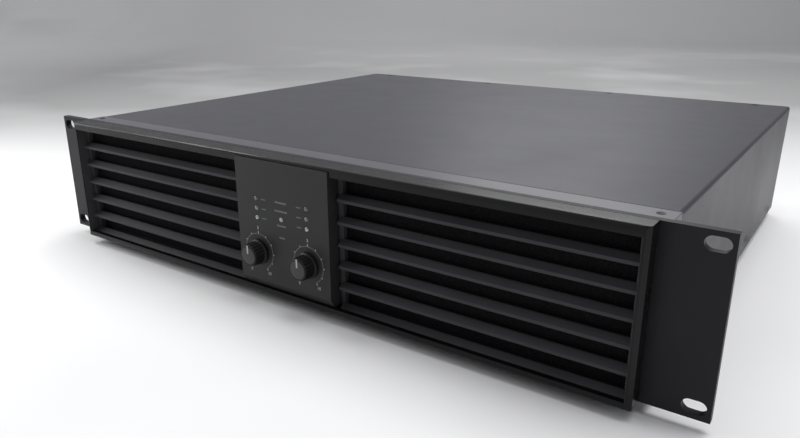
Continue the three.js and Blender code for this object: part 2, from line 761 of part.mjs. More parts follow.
// Front frame of the chassis: a shallow box, open behind, with a window behind each filter
function frontFrame() {
  const body = block(-chassisHalf, chassisHalf, frameFront, frameBack, chassisLow, chassisHigh);
  const insideHalf = chassisHalf - SHEET;
  const inside = block(
    -insideHalf, insideHalf,
    frameFront + SHEET, frameBack + OVERRUN,
    floorLevel, chassisHigh - SHEET,
  );
  const cuts = [inside];
  const faceFront = frameFront - OVERRUN;
  const faceBack = frameFront + SHEET + OVERRUN;
  const windowHighEdge = PANEL_HEIGHT - FRAME_BORDER;
  const inner = moduleHalf + FRAME_RIB;
  const outer = openingHalf - FRAME_RIB;
  cuts.push(block(inner, outer, faceFront, faceBack, FRAME_BORDER, windowHighEdge));
  cuts.push(block(-outer, -inner, faceFront, faceBack, FRAME_BORDER, windowHighEdge));
  cuts.push(block(
    -CENTRE_OPENING_WIDTH / 2, CENTRE_OPENING_WIDTH / 2,
    faceFront, faceBack,
    CENTRE_OPENING_MARGIN, windowHighEdge,
  ));
  return shape([body], cuts);
}

// Base tray: a floor with a turned-up flange on each side
function baseTray() {
  const flangeTop = floorLevel + TRAY_FLANGE_HEIGHT;
  return alongY(outlineOf([
    [-trayHalf, chassisLow],
    [trayHalf, chassisLow],
    [trayHalf, flangeTop],
    [trayHalf - SHEET, flangeTop],
    [trayHalf - SHEET, floorLevel],
    [-trayHalf + SHEET, floorLevel],
    [-trayHalf + SHEET, flangeTop],
    [-trayHalf, flangeTop],
  ]), coverFront, trayBack);
}

// Top cover: one sheet bent down over both sides
function topCover() {
  const insideHalf = chassisHalf - COVER_SHEET;
  const insideBend = COVER_BEND - COVER_SHEET;
  const outline = new THREE.Shape();
  outline.moveTo(chassisHalf, chassisLow);
  outline.absarc(chassisHalf - COVER_BEND, chassisHigh - COVER_BEND, COVER_BEND, 0, Math.PI / 2, false);
  outline.absarc(
    -chassisHalf + COVER_BEND, chassisHigh - COVER_BEND, COVER_BEND, Math.PI / 2, Math.PI, false,
  );
  outline.lineTo(-chassisHalf, chassisLow);
  outline.lineTo(-insideHalf, chassisLow);
  outline.lineTo(-insideHalf, roofLevel - insideBend);
  outline.lineTo(-insideHalf + insideBend, roofLevel);
  outline.lineTo(insideHalf - insideBend, roofLevel);
  outline.lineTo(insideHalf, roofLevel - insideBend);
  outline.lineTo(insideHalf, chassisLow);
  return alongY(outline, coverFront, chassisBack);
}

// Rubber foot with a recess for its screw, standing on its own origin
function foot() {
  return turnedUp([
    [0, FOOT_RECESS_DEPTH],
    [FOOT_RECESS_RADIUS, FOOT_RECESS_DEPTH],
    [FOOT_RECESS_RADIUS, 0],
    [FOOT_TREAD_RADIUS, 0],
    [FOOT_TOP_RADIUS, FOOT_HEIGHT],
    [0, FOOT_HEIGHT],
  ], SMALL_STEPS);
}

// Rear panel, in a frame whose Y = 0 is its outer face: one cutout for each fitting
function rearPanel() {
  const high = roofLevel - SEAT_GAP;
  const outline = outlineOf([
    [-trayHalf, chassisLow],
    [trayHalf, chassisLow],
    [trayHalf, high - COVER_BEND],
    [trayHalf - COVER_BEND, high],
    [-trayHalf + COVER_BEND, high],
    [-trayHalf, high - COVER_BEND],
  ]);
  const middleHole = (x, z, width, height) => rectangularHole(
    x - width / 2, x + width / 2, z - height / 2, z + height / 2,
  );
  const clearance = 2 * SEAT_GAP;
  outline.holes.push(middleHole(
    inletX, INLET_RISE,
    INLET_BODY_WIDTH + clearance, INLET_BODY_HEIGHT + clearance,
  ));
  outline.holes.push(middleHole(
    switchX, switchRise,
    switchBodyWidth + clearance, switchBodyHeight + clearance,
  ));
  outline.holes.push(middleHole(
    socketMiddleX, MODE_RISE,
    MODE_SLIDER_SIDE + MODE_TRAVEL + clearance, MODE_SLIDER_SIDE + clearance,
  ));
  const plain = alongY(outline, -SHEET, 0);
  const through = (radius, x, z, steps) => rod(radius, -SHEET - OVERRUN, OVERRUN, x, z, steps);
  const cuts = [
    through(fanBore, 0, middleRise, ROUND_STEPS),
    through(BREAKER_THREAD_RADIUS + SEAT_GAP, switchX, BREAKER_RISE, SMALL_STEPS),
  ];
  for (const side of [-1, 1]) {
    const socketX = socketMiddleX + (side * SOCKET_SPACING) / 2;
    cuts.push(through(SOCKET_SHELL_RADIUS + SEAT_GAP, socketX, socketRise, ROUND_STEPS));
    for (const end of [-1, 1]) {
      const tailX = side * terminalX + (end * TERMINAL_PITCH) / 2;
      cuts.push(through(TERMINAL_TAIL_RADIUS + SEAT_GAP, tailX, middleRise, HOLE_STEPS));
    }
  }
  const flangeHalf = trayHalf - REAR_FLANGE_INSET;
  const flange = block(-flangeHalf, flangeHalf, -SHEET - REAR_FLANGE_DEPTH, -SHEET / 2, high - SHEET, high);
  return shape([plain, flange], cuts);
}

// Mains inlet, in the frame of the rear panel: a flanged socket with three flat pins
function mainsInlet() {
  const face = SEAT_GAP + INLET_FLANGE_THICKNESS;
  const back = face - INLET_BODY_DEPTH;
  const floor = face - INLET_SOCKET_DEPTH;
  const socketHalfX = INLET_BODY_WIDTH / 2 - INLET_WALL;
  const socketHalfZ = INLET_BODY_HEIGHT / 2 - INLET_WALL;
  const body = shape([
    centred(INLET_FLANGE_WIDTH, INLET_FLANGE_HEIGHT, SEAT_GAP, face),
    centred(INLET_BODY_WIDTH, INLET_BODY_HEIGHT, back, SEAT_GAP + INLET_FLANGE_THICKNESS / 2),
  ], [block(-socketHalfX, socketHalfX, floor, face + OVERRUN, -socketHalfZ, socketHalfZ)]);
  const pins = [[-1, -INLET_PIN_DROP], [0, INLET_EARTH_RISE], [1, -INLET_PIN_DROP]];
  return shape([body, ...pins.map(([place, z]) => block(
    place * INLET_PIN_SPACING - INLET_PIN_WIDTH / 2, place * INLET_PIN_SPACING + INLET_PIN_WIDTH / 2,
    floor - INLET_WALL / 2, floor + INLET_PIN_LENGTH,
    z - INLET_PIN_HEIGHT / 2, z + INLET_PIN_HEIGHT / 2,
  ))]);
}

// Power switch housing: a flange and a box, open in front for the rocker
function switchBody() {
  const face = SEAT_GAP + SWITCH_FLANGE_THICKNESS;
  const back = face - SWITCH_BODY_DEPTH;
  const cavityHalfX = switchBodyWidth / 2 - SWITCH_WALL;
  const cavityHalfZ = switchBodyHeight / 2 - SWITCH_WALL;
  return shape([
    centred(SWITCH_FLANGE_WIDTH, SWITCH_FLANGE_HEIGHT, SEAT_GAP, face),
    centred(switchBodyWidth, switchBodyHeight, back, SEAT_GAP + SWITCH_FLANGE_THICKNESS / 2),
  ], [
    block(-cavityHalfX, cavityHalfX, face - SWITCH_CAVITY_DEPTH, face + OVERRUN, -cavityHalfZ, cavityHalfZ),
  ]);
}

// Rocker, round its own pivot: round ends and two flat faces that meet in a shallow valley
function rocker() {
  const tilt = THREE.MathUtils.degToRad(ROCKER_TILT);
  const heelAngle = Math.asin(ROCKER_HEEL / ROCKER_RADIUS);
  const tipAngle = Math.atan(ROCKER_VALLEY / ROCKER_RADIUS) + tilt;
  const points = [];
  for (const end of [1, -1]) {
    for (let step = 0; step <= ROCKER_ARC_STEPS; step += 1) {
      const share = end > 0 ? step / ROCKER_ARC_STEPS : 1 - step / ROCKER_ARC_STEPS;
      const angle = -heelAngle + (heelAngle + tipAngle) * share;
      points.push([ROCKER_RADIUS * Math.sin(angle), end * ROCKER_RADIUS * Math.cos(angle)]);
    }
    if (end > 0) points.push([ROCKER_VALLEY, 0]);
  }
  return alongX(points, -ROCKER_WIDTH / 2, ROCKER_WIDTH / 2);
}

// Circuit breaker: box behind the panel, threaded neck through it and a collar outside
function breakerBody() {
  const inner = -SHEET - SEAT_GAP;
  const face = SEAT_GAP + BREAKER_COLLAR_HEIGHT;
  return shape([
    centred(BREAKER_BODY_WIDTH, BREAKER_BODY_HEIGHT, inner - BREAKER_BODY_DEPTH, inner),
    rod(BREAKER_THREAD_RADIUS, inner - OVERRUN, SEAT_GAP + BREAKER_COLLAR_HEIGHT / 2),
    rod(BREAKER_COLLAR_RADIUS, SEAT_GAP, face),
  ], [rod(BREAKER_BORE_RADIUS, face - BREAKER_BORE_DEPTH, face + OVERRUN)]);
}

function breakerButton() {
  const back = SEAT_GAP + BREAKER_COLLAR_HEIGHT - BREAKER_BORE_DEPTH + SEAT_GAP;
  return rod(BREAKER_BORE_RADIUS - SEAT_GAP, back, back + BREAKER_BUTTON_LENGTH);
}

// Three-pole input socket: flange, round shell, insert with three contacts and a pocket for its latch
function inputSocket() {
  const face = SEAT_GAP + SOCKET_FLANGE_THICKNESS;
  const floor = face - SOCKET_BORE_DEPTH;
  const insertFace = face - SOCKET_INSERT_RECESS;
  const shell = shape([
    centred(SOCKET_FLANGE_WIDTH, SOCKET_FLANGE_HEIGHT, SEAT_GAP, face),
    rod(SOCKET_SHELL_RADIUS, floor - SOCKET_BACK, face - SOCKET_FLANGE_THICKNESS / 2, 0, 0, ROUND_STEPS),
  ], [rod(SOCKET_BORE_RADIUS, floor, face + OVERRUN, 0, 0, ROUND_STEPS)]);
  const insert = rod(SOCKET_INSERT_RADIUS, floor - SOCKET_BACK / 2, insertFace, 0, 0, ROUND_STEPS);
  const cuts = [block(
    -LATCH_WIDTH / 2 - SEAT_GAP, LATCH_WIDTH / 2 + SEAT_GAP,
    face - LATCH_POCKET_DEPTH, face + OVERRUN,
    LATCH_RISE - LATCH_HEIGHT / 2 - SEAT_GAP, LATCH_RISE + LATCH_HEIGHT / 2 + SEAT_GAP,
  )];
  for (let pin = 0; pin < SOCKET_PINS; pin += 1) {
    const angle = (pin / SOCKET_PINS) * Math.PI * 2 - Math.PI / 2;
    const x = SOCKET_PIN_CIRCLE * Math.cos(angle);
    const z = SOCKET_PIN_CIRCLE * Math.sin(angle);
    cuts.push(rod(SOCKET_PIN_RADIUS, insertFace - SOCKET_PIN_DEPTH, insertFace + OVERRUN, x, z, HOLE_STEPS));
  }
  return shape([shell, insert], cuts);
}

function socketLatch() {
  const back = SEAT_GAP + SOCKET_FLANGE_THICKNESS - LATCH_POCKET_DEPTH + SEAT_GAP + LATCH_TRAVEL;
  return block(
    -LATCH_WIDTH / 2, LATCH_WIDTH / 2,
    back, back + LATCH_LENGTH,
    LATCH_RISE - LATCH_HEIGHT / 2, LATCH_RISE + LATCH_HEIGHT / 2,
  );
}

// Mode switch: a box inside the rear panel with a pocket that its slider runs in
function modeSwitch() {
  const face = -SHEET - SEAT_GAP;
  const pocketHalfX = (MODE_SLIDER_SIDE + MODE_TRAVEL) / 2 + SEAT_GAP;
  const pocketHalfZ = MODE_SLIDER_SIDE / 2 + SEAT_GAP;
  return shape([
    centred(MODE_BODY_WIDTH, MODE_BODY_HEIGHT, face - MODE_BODY_DEPTH, face),
  ], [
    block(-pocketHalfX, pocketHalfX, face - MODE_POCKET_DEPTH, face + OVERRUN, -pocketHalfZ, pocketHalfZ),
  ]);
}

function modeSlider() {
  const back = -SHEET - SEAT_GAP - MODE_POCKET_DEPTH + SEAT_GAP;
  return centred(MODE_SLIDER_SIDE, MODE_SLIDER_SIDE, back, MODE_SLIDER_PROUD);
}

// Loudspeaker terminal: a plate with two collars, hollow studs outside and tails inside
function speakerTerminal() {
  const face = SEAT_GAP + TERMINAL_PLATE_THICKNESS;
  const seat = face + TERMINAL_COLLAR_HEIGHT;
  const tip = seat + TERMINAL_STUD_LENGTH;
  const pieces = [centred(TERMINAL_PLATE_WIDTH, TERMINAL_PLATE_HEIGHT, SEAT_GAP, face)];
  const cuts = [];
  for (const side of [-1, 1]) {
    const x = (side * TERMINAL_PITCH) / 2;
    pieces.push(rod(TERMINAL_COLLAR_RADIUS, face - TERMINAL_PLATE_THICKNESS / 2, seat, x));
    pieces.push(rod(TERMINAL_STUD_RADIUS, face, tip, x, 0, HOLE_STEPS));
    pieces.push(rod(TERMINAL_TAIL_RADIUS, -TERMINAL_TAIL_LENGTH, face, x, 0, HOLE_STEPS));
    cuts.push(rod(TERMINAL_SOCKET_RADIUS, tip - TERMINAL_SOCKET_DEPTH, tip + OVERRUN, x, 0, HOLE_STEPS));
  }
  return shape(pieces, cuts);
}

// Screw cap of a terminal: a sleeve with chamfered ends round the stud
function terminalCap() {
  const back = SEAT_GAP + TERMINAL_PLATE_THICKNESS + TERMINAL_COLLAR_HEIGHT + SEAT_GAP;
  const tip = back + CAP_LENGTH;
  const bore = TERMINAL_STUD_RADIUS + SEAT_GAP;
  return turned([
    [bore, back],
    [CAP_RADIUS - CAP_CHAMFER, back],
    [CAP_RADIUS, back + CAP_CHAMFER],
    [CAP_RADIUS, tip - CAP_CHAMFER],
    [CAP_RADIUS - CAP_CHAMFER, tip],
    [bore, tip],
    [bore, back],
  ], SMALL_STEPS);
}

// Fan frame: a square moulding with a round bore, corner holes and a motor plate on four struts
function fanFrame() {
  const back = -SHEET - SEAT_GAP;
  const front = back - FAN_DEPTH;
  const cuts = [rod(fanBore, front - OVERRUN, back + OVERRUN, 0, 0, 2 * ROUND_STEPS)];
  for (const x of [-fanHole, fanHole]) {
    for (const z of [-fanHole, fanHole]) {
      cuts.push(rod(FAN_HOLE_RADIUS, front - OVERRUN, back + OVERRUN, x, z, HOLE_STEPS));
    }
  }
  const ring = shape([centred(fanSide, fanSide, front, back)], cuts);
  const pieces = [ring, rod(FAN_MOTOR_RADIUS, back - FAN_STRUT_DEPTH, back, 0, 0, ROUND_STEPS)];
  for (let strut = 0; strut < FAN_STRUTS; strut += 1) {
    const bar = block(
      0, fanBore + OVERRUN,
      back - FAN_STRUT_DEPTH, back,
      -FAN_STRUT_WIDTH / 2, FAN_STRUT_WIDTH / 2,
    );
    bar.rotateY(((strut + 0.5) / FAN_STRUTS) * Math.PI * 2);
    pieces.push(bar);
  }
  return shape(pieces);
}

// Fan rotor: a hub with pitched blades
function fanRotor() {
  const back = -SHEET - SEAT_GAP - FAN_STRUT_DEPTH - SEAT_GAP;
  const front = back - FAN_HUB_DEPTH;
  const middle = (back + front) / 2;
  const pieces = [rod(FAN_HUB_RADIUS, front, back, 0, 0, ROUND_STEPS)];
  const pitch = THREE.MathUtils.degToRad(FAN_BLADE_PITCH);
  const chord = (FAN_HUB_DEPTH - FAN_BLADE_THICKNESS * Math.sin(pitch)) / Math.cos(pitch);
  const halfWidth = (chord * Math.sin(pitch) + FAN_BLADE_THICKNESS * Math.cos(pitch)) / 2;
  const tip = Math.sqrt((fanBore - FAN_TIP_GAP) ** 2 - halfWidth ** 2);
  for (let blade = 0; blade < FAN_BLADES; blade += 1) {
    const vane = new THREE.BoxGeometry(tip - FAN_HUB_RADIUS / 2, chord, FAN_BLADE_THICKNESS);
    vane.translate((tip + FAN_HUB_RADIUS / 2) / 2, 0, 0);
    vane.rotateX(pitch);
    vane.rotateY((blade / FAN_BLADES) * Math.PI * 2);
    vane.translate(0, middle, 0);
    pieces.push(vane);
  }
  return shape(pieces);
}

// Fan guard: flat rings on two crossed bars that end in the mounting eyes
function fanGuard() {
  const back = SEAT_GAP;
  const front = back + GUARD_WIRE;
  const pieces = [];
  for (let ring = 1; ring <= GUARD_RINGS; ring += 1) {
    const outer = fanBore + GUARD_WIRE - (GUARD_RINGS - ring) * GUARD_PITCH;
    const inner = outer - GUARD_WIRE;
    pieces.push(turned(
      [[inner, back], [outer, back], [outer, front], [inner, front], [inner, back]],
      ROUND_STEPS,
    ));
  }
  const reach = (fanHole) * Math.SQRT2;
  for (const turn of [1, 3]) {
    const bar = block(-reach, reach, back, front, -GUARD_WIRE / 2, GUARD_WIRE / 2);
    bar.rotateY((turn * Math.PI) / 4);
    pieces.push(bar);
  }
  const cuts = [];
  for (const x of [-fanHole, fanHole]) {
    for (const z of [-fanHole, fanHole]) {
      pieces.push(rod(GUARD_EYE_RADIUS, back, front, x, z, HOLE_STEPS));
      cuts.push(rod(FAN_HOLE_RADIUS, back - OVERRUN, front + OVERRUN, x, z, HOLE_STEPS));
    }
  }
  return shape(pieces, cuts);
}

// Ring-shaped transformer with rounded edges, standing on its own origin
function transformer() {
  const inner = TRANSFORMER_HOLE_RADIUS;
  const outer = TRANSFORMER_RADIUS;
  const edge = TRANSFORMER_EDGE;
  const high = TRANSFORMER_HEIGHT;
  return turnedUp([
    [inner, edge],
    [inner + edge, 0],
    [outer - edge, 0],
    [outer, edge],
    [outer, high - edge],
    [outer - edge, high],
    [inner + edge, high],
    [inner, high - edge],
    [inner, edge],
  ], TRANSFORMER_STEPS);
}

// Its clamp: a disc on top, with the bolt down the middle and the nut above
function transformerClamp() {
  const low = TRANSFORMER_HEIGHT + SEAT_GAP;
  const high = low + CLAMP_THICKNESS;
  return turnedUp([
    [0, 0],
    [CLAMP_BOLT_RADIUS, 0],
    [CLAMP_BOLT_RADIUS, low],
    [CLAMP_RADIUS, low],
    [CLAMP_RADIUS, high],
    [CLAMP_NUT_RADIUS, high],
    [CLAMP_NUT_RADIUS, high + CLAMP_NUT_HEIGHT],
    [0, high + CLAMP_NUT_HEIGHT],
  ], ROUND_STEPS);
}

// Heatsink: an upright wall with level fins towards the air tunnel and a foot on the other side
function heatsink() {
  const wallInner = sinkOuter - SINK_BASE;
  const rise = sinkHigh - seatLevel;
  const pieces = [
    block(wallInner, sinkOuter, sinkFront, sinkBack, seatLevel, sinkHigh),
    block(wallInner, sinkOuter + SINK_FOOT, sinkFront, sinkBack, seatLevel, seatLevel + SINK_FIN_THICKNESS),
  ];
  for (let fin = 0; fin < SINK_FINS; fin += 1) {
    const low = seatLevel + ((rise - SINK_FIN_THICKNESS) * fin) / (SINK_FINS - 1);
    pieces.push(block(
      TUNNEL_HALF_GAP, wallInner + SINK_BASE / 2,
      sinkFront, sinkBack,
      low, low + SINK_FIN_THICKNESS,
    ));
  }
  return shape(pieces);
}

// Four posts under a board
function standoffs(x0, x1, y0, y1, inset = STANDOFF_INSET) {
  const top = boardSeat + BOARD_THICKNESS / 2;
  const posts = [];
  for (const x of [x0 + inset, x1 - STANDOFF_INSET]) {
    for (const y of [y0 + STANDOFF_INSET, y1 - STANDOFF_INSET]) {
      posts.push(post(STANDOFF_RADIUS, seatLevel, top, x, y));
    }
  }
  return posts;
}

// Output board beside its heatsink, with power transistors, output coil and relay
function outputBoard() {
  const inner = sinkOuter + SEAT_GAP;
  const outer = inner + OUTPUT_BOARD_WIDTH;
  const front = sinkFront + OUTPUT_BOARD_MARGIN;
  const back = sinkBack - OUTPUT_BOARD_MARGIN;
  const top = boardSeat + BOARD_THICKNESS;
  const middle = (inner + outer) / 2 + TRANSISTOR_THICKNESS;
  const pieces = [
    block(inner, outer, front, back, boardSeat, top),
    ...standoffs(inner, outer, front, back, STANDOFF_INSET + SINK_FOOT),
  ];
  const pitch = (back - front) / TRANSISTORS;
  for (let index = 0; index < TRANSISTORS; index += 1) {
    const y = front + pitch * (index + 0.5);
    const half = TRANSISTOR_WIDTH / 2;
    pieces.push(block(
      inner, inner + TRANSISTOR_THICKNESS,
      y - half, y + half,
      TRANSISTOR_RISE - TRANSISTOR_HEIGHT / 2, TRANSISTOR_RISE + TRANSISTOR_HEIGHT / 2,
    ));
    pieces.push(block(
      inner + TRANSISTOR_THICKNESS / 2, inner + TRANSISTOR_THICKNESS / 2 + LEAD_THICKNESS,
      y - half / 2, y + half / 2,
      top - BOARD_THICKNESS / 2, TRANSISTOR_RISE,
    ));
  }
  const coil = rod(OUTPUT_COIL_RADIUS, -OUTPUT_COIL_LENGTH / 2, OUTPUT_COIL_LENGTH / 2);
  coil.translate(middle, front + OUTPUT_PART_INSET, top + OUTPUT_COIL_RADIUS - BOARD_THICKNESS / 2);
  pieces.push(coil);
  pieces.push(block(
    middle - RELAY_DEPTH / 2, middle + RELAY_DEPTH / 2,
    back - OUTPUT_PART_INSET - RELAY_LENGTH / 2, back - OUTPUT_PART_INSET + RELAY_LENGTH / 2,
    top - BOARD_THICKNESS / 2, top + RELAY_HEIGHT,
  ));
  return shape(pieces);
}

// Smoothing capacitor: a can with a crimped groove, standing on its own origin
function capacitor() {
  return turnedUp([
    [0, 0],
    [CAPACITOR_RADIUS, 0],
    [CAPACITOR_RADIUS, CAPACITOR_GROOVE_RISE - CAPACITOR_GROOVE],
    [CAPACITOR_RADIUS - CAPACITOR_GROOVE, CAPACITOR_GROOVE_RISE],
    [CAPACITOR_RADIUS, CAPACITOR_GROOVE_RISE + CAPACITOR_GROOVE],
    [CAPACITOR_RADIUS, CAPACITOR_HEIGHT],
    [0, CAPACITOR_HEIGHT],
  ], ROUND_STEPS);
}

// Power supply board on four posts, with the socket that the ribbon cable ends in
function supplyBoard() {
  const top = boardSeat + BOARD_THICKNESS;
  return shape([
    block(supplyLeft, supplyRight, supplyFront, supplyBack, boardSeat, top),
    ...standoffs(supplyLeft, supplyRight, supplyFront, supplyBack),
    block(
      RIBBON_X - RIBBON_WIDTH / 2, RIBBON_X + RIBBON_WIDTH / 2,
      ribbonDropY - RIBBON_PLUG_DEPTH / 2, ribbonDropY + RIBBON_PLUG_DEPTH / 2,
      top - BOARD_THICKNESS / 2, top + RIBBON_SOCKET_HEIGHT,
    ),
  ]);
}

// Ribbon cable: level from the display board, then straight down to the power supply board
function ribbonCable() {
  const front = displayBack + RIBBON_PLUG_DEPTH + SEAT_GAP;
  const half = RIBBON_THICKNESS / 2;
  const low = boardSeat + BOARD_THICKNESS + RIBBON_SOCKET_HEIGHT + SEAT_GAP;
  return alongX([
    [front, ribbonPlugRise - half],
    [ribbonDropY - half, ribbonPlugRise - half],
    [ribbonDropY - half, low],
    [ribbonDropY + half, low],
    [ribbonDropY + half, ribbonPlugRise + half],
    [front, ribbonPlugRise + half],
  ], RIBBON_X - RIBBON_WIDTH / 2, RIBBON_X + RIBBON_WIDTH / 2);
}

// Bridge rectifier: a flat block with four blade tabs, standing on its own origin
function bridgeRectifier() {
  const half = RECTIFIER_SIDE / 2;
  const reach = half - RECTIFIER_TAB_INSET;
  const pieces = [block(-half, half, -half, half, 0, RECTIFIER_HEIGHT)];
  for (const x of [-reach, reach]) {
    for (const y of [-reach, reach]) {
      pieces.push(block(
        x - RECTIFIER_TAB_WIDTH / 2, x + RECTIFIER_TAB_WIDTH / 2,
        y - RECTIFIER_TAB_THICKNESS / 2, y + RECTIFIER_TAB_THICKNESS / 2,
        RECTIFIER_HEIGHT / 2, RECTIFIER_HEIGHT + RECTIFIER_TAB_HEIGHT,
      ));
    }
  }
  return shape(pieces);
}

// Input board, upright behind the input sockets, with a column of chips
function inputBoard() {
  const x0 = socketMiddleX - INPUT_BOARD_WIDTH / 2;
  const front = inputBoardBack - BOARD_THICKNESS;
  const high = PANEL_HEIGHT - INPUT_BOARD_TOP_MARGIN;
  const pieces = [block(
    x0, x0 + INPUT_BOARD_WIDTH,
    front, inputBoardBack,
    INPUT_BOARD_LOW_RISE, high,
  )];
  const chipMiddle = (INPUT_BOARD_LOW_RISE + high) / 2;
  for (let row = 0; row < INPUT_CHIP_ROWS; row += 1) {
    const z = chipMiddle + (row - (INPUT_CHIP_ROWS - 1) / 2) * INPUT_CHIP_PITCH;
    pieces.push(block(
      socketMiddleX - INPUT_CHIP_WIDTH / 2, socketMiddleX + INPUT_CHIP_WIDTH / 2,
      front - INPUT_CHIP_DEPTH, front + BOARD_THICKNESS / 2,
      z - INPUT_CHIP_HEIGHT / 2, z + INPUT_CHIP_HEIGHT / 2,
    ));
  }
  return shape(pieces);
}

function mirrored(geometry) {
  return geometryOf(solidOf(geometry).mirror([1, 0, 0]));
}

// Front of the amplifier
piece('rack_panel', rackPanel(), 'panelPaint');
piece('front_bezel', frontBezel(), 'bezelPlastic');
piece('louvre_left', mirrored(louvre()), 'bezelPlastic');
piece('louvre_right', louvre(), 'bezelPlastic');
piece('filter_left', mirrored(dustFilter()), 'foam');
piece('filter_right', dustFilter(), 'foam');
piece('control_panel', controlPanel(), 'modulePlastic');
piece('display_board', displayBoard(), 'circuitBoard');
for (const [channel, x] of [['a', -channelX], ['b', channelX]]) {
  piece(`light_pipe_${channel}`, lightPipe(), 'clearPlastic').position.x = x;
  const control = groupAt(x, 0, KNOB_RISE);
  piece(`gain_pot_${channel}`, gainPot(), 'blackPlastic', control);
  piece(`pot_shaft_${channel}`, potShaft(), 'zincSteel', control);
  piece(`gain_knob_${channel}`, gainKnob(), 'knobPlastic', control);
}

// Chassis
piece('front_frame', frontFrame(), 'coverPaint');
piece('base_tray', baseTray(), 'coverPaint');
piece('top_cover', topCover(), 'coverPaint');
const footX = chassisHalf - FOOT_SIDE_INSET;
const footTread = chassisLow - SEAT_GAP - FOOT_HEIGHT;
for (const [end, y] of [['front', coverFront + FOOT_END_INSET], ['rear', chassisBack - FOOT_END_INSET]]) {
  for (const [side, x] of [['left', -footX], ['right', footX]]) {
    piece(`foot_${end}_${side}`, foot(), 'rubber').position.set(x, y, footTread);
  }
}

// Inside
const transformerPlace = groupAt(transformerX, transformerY, seatLevel);
piece('toroid_transformer', transformer(), 'windingTape', transformerPlace);
piece('transformer_clamp', transformerClamp(), 'zincSteel', transformerPlace);
piece('heatsink_a', mirrored(heatsink()), 'aluminium');
piece('heatsink_b', heatsink(), 'aluminium');
piece('output_board_a', mirrored(outputBoard()), 'circuitBoard');
piece('output_board_b', outputBoard(), 'circuitBoard');
piece('power_supply_board', supplyBoard(), 'circuitBoard');
piece('ribbon_cable', ribbonCable(), 'ribbonGrey');
const capacitorPitch = 2 * CAPACITOR_RADIUS + CAPACITOR_GAP;
const lastCapacitor = supplyRight - CAPACITOR_EDGE_GAP - CAPACITOR_RADIUS;
const capacitorY = (supplyFront + supplyBack) / 2;
const capacitorSeat = boardSeat + BOARD_THICKNESS + SEAT_GAP;
for (let index = 0; index < CAPACITORS; index += 1) {
  const x = lastCapacitor - (CAPACITORS - 1 - index) * capacitorPitch;
  piece(`capacitor_${index + 1}`, capacitor(), 'capacitorSleeve').position.set(x, capacitorY, capacitorSeat);
}
const rectifierPlace = groupAt(rectifierX, rectifierY, seatLevel);
piece('bridge_rectifier', bridgeRectifier(), 'blackPlastic', rectifierPlace);

// Rear of the amplifier, round the outer face of the rear panel
const rear = groupAt(0, chassisBack, 0);
piece('rear_panel', rearPanel(), 'coverPaint', rear);
const inletPlace = groupAt(inletX, 0, INLET_RISE, rear);
piece('mains_inlet', mainsInlet(), 'blackPlastic', inletPlace);
const switchPlace = groupAt(switchX, 0, switchRise, rear);
piece('power_switch_body', switchBody(), 'blackPlastic', switchPlace);
const powerRocker = piece('power_rocker', rocker(), 'blackPlastic', switchPlace);
powerRocker.position.y = SEAT_GAP + SWITCH_FLANGE_THICKNESS - ROCKER_VALLEY;
powerRocker.rotation.x = -THREE.MathUtils.degToRad(ROCKER_TILT);
const breakerPlace = groupAt(switchX, 0, BREAKER_RISE, rear);
piece('breaker_body', breakerBody(), 'blackPlastic', breakerPlace);
piece('breaker_button', breakerButton(), 'redPlastic', breakerPlace);
for (const [channel, side] of [['a', -1], ['b', 1]]) {
  const socketPlace = groupAt(socketMiddleX + (side * SOCKET_SPACING) / 2, 0, socketRise, rear);
  piece(`input_socket_${channel}`, inputSocket(), 'zincSteel', socketPlace);
  piece(`socket_latch_${channel}`, socketLatch(), 'nickel', socketPlace);
  const terminalPlace = groupAt(side * terminalX, 0, middleRise, rear);
  piece(`speaker_terminal_${channel}`, speakerTerminal(), 'blackPlastic', terminalPlace);
  for (const [pole, end, finish] of [['minus', -1, 'blackPlastic'], ['plus', 1, 'redPlastic']]) {
    const cap = piece(`terminal_cap_${channel}_${pole}`, terminalCap(), finish, terminalPlace);
    cap.position.x = (end * TERMINAL_PITCH) / 2;
  }
}
const modePlace = groupAt(socketMiddleX, 0, MODE_RISE, rear);
piece('mode_switch', modeSwitch(), 'blackPlastic', modePlace);
piece('mode_slider', modeSlider(), 'blackPlastic', modePlace);
const fanPlace = groupAt(0, 0, middleRise, rear);
piece('fan_frame', fanFrame(), 'blackPlastic', fanPlace);
piece('fan_rotor', fanRotor(), 'blackPlastic', fanPlace);
piece('fan_guard', fanGuard(), 'zincSteel', fanPlace);
piece('input_board', inputBoard(), 'circuitBoard', rear);

// Bring the origin under the middle of the whole amplifier
const bounds = new THREE.Box3().setFromObject(amplifier, true);
const middle = bounds.getCenter(new THREE.Vector3());
amplifier.position.set(-middle.x, -middle.y, -bounds.min.z);

export default amplifier;
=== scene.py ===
"""Looks of the PA power amplifier. Lengths are metres. X runs along the width, Y to the back, Z up."""

import json
import math

import bmesh
import bpy
from mathutils import Matrix, Vector

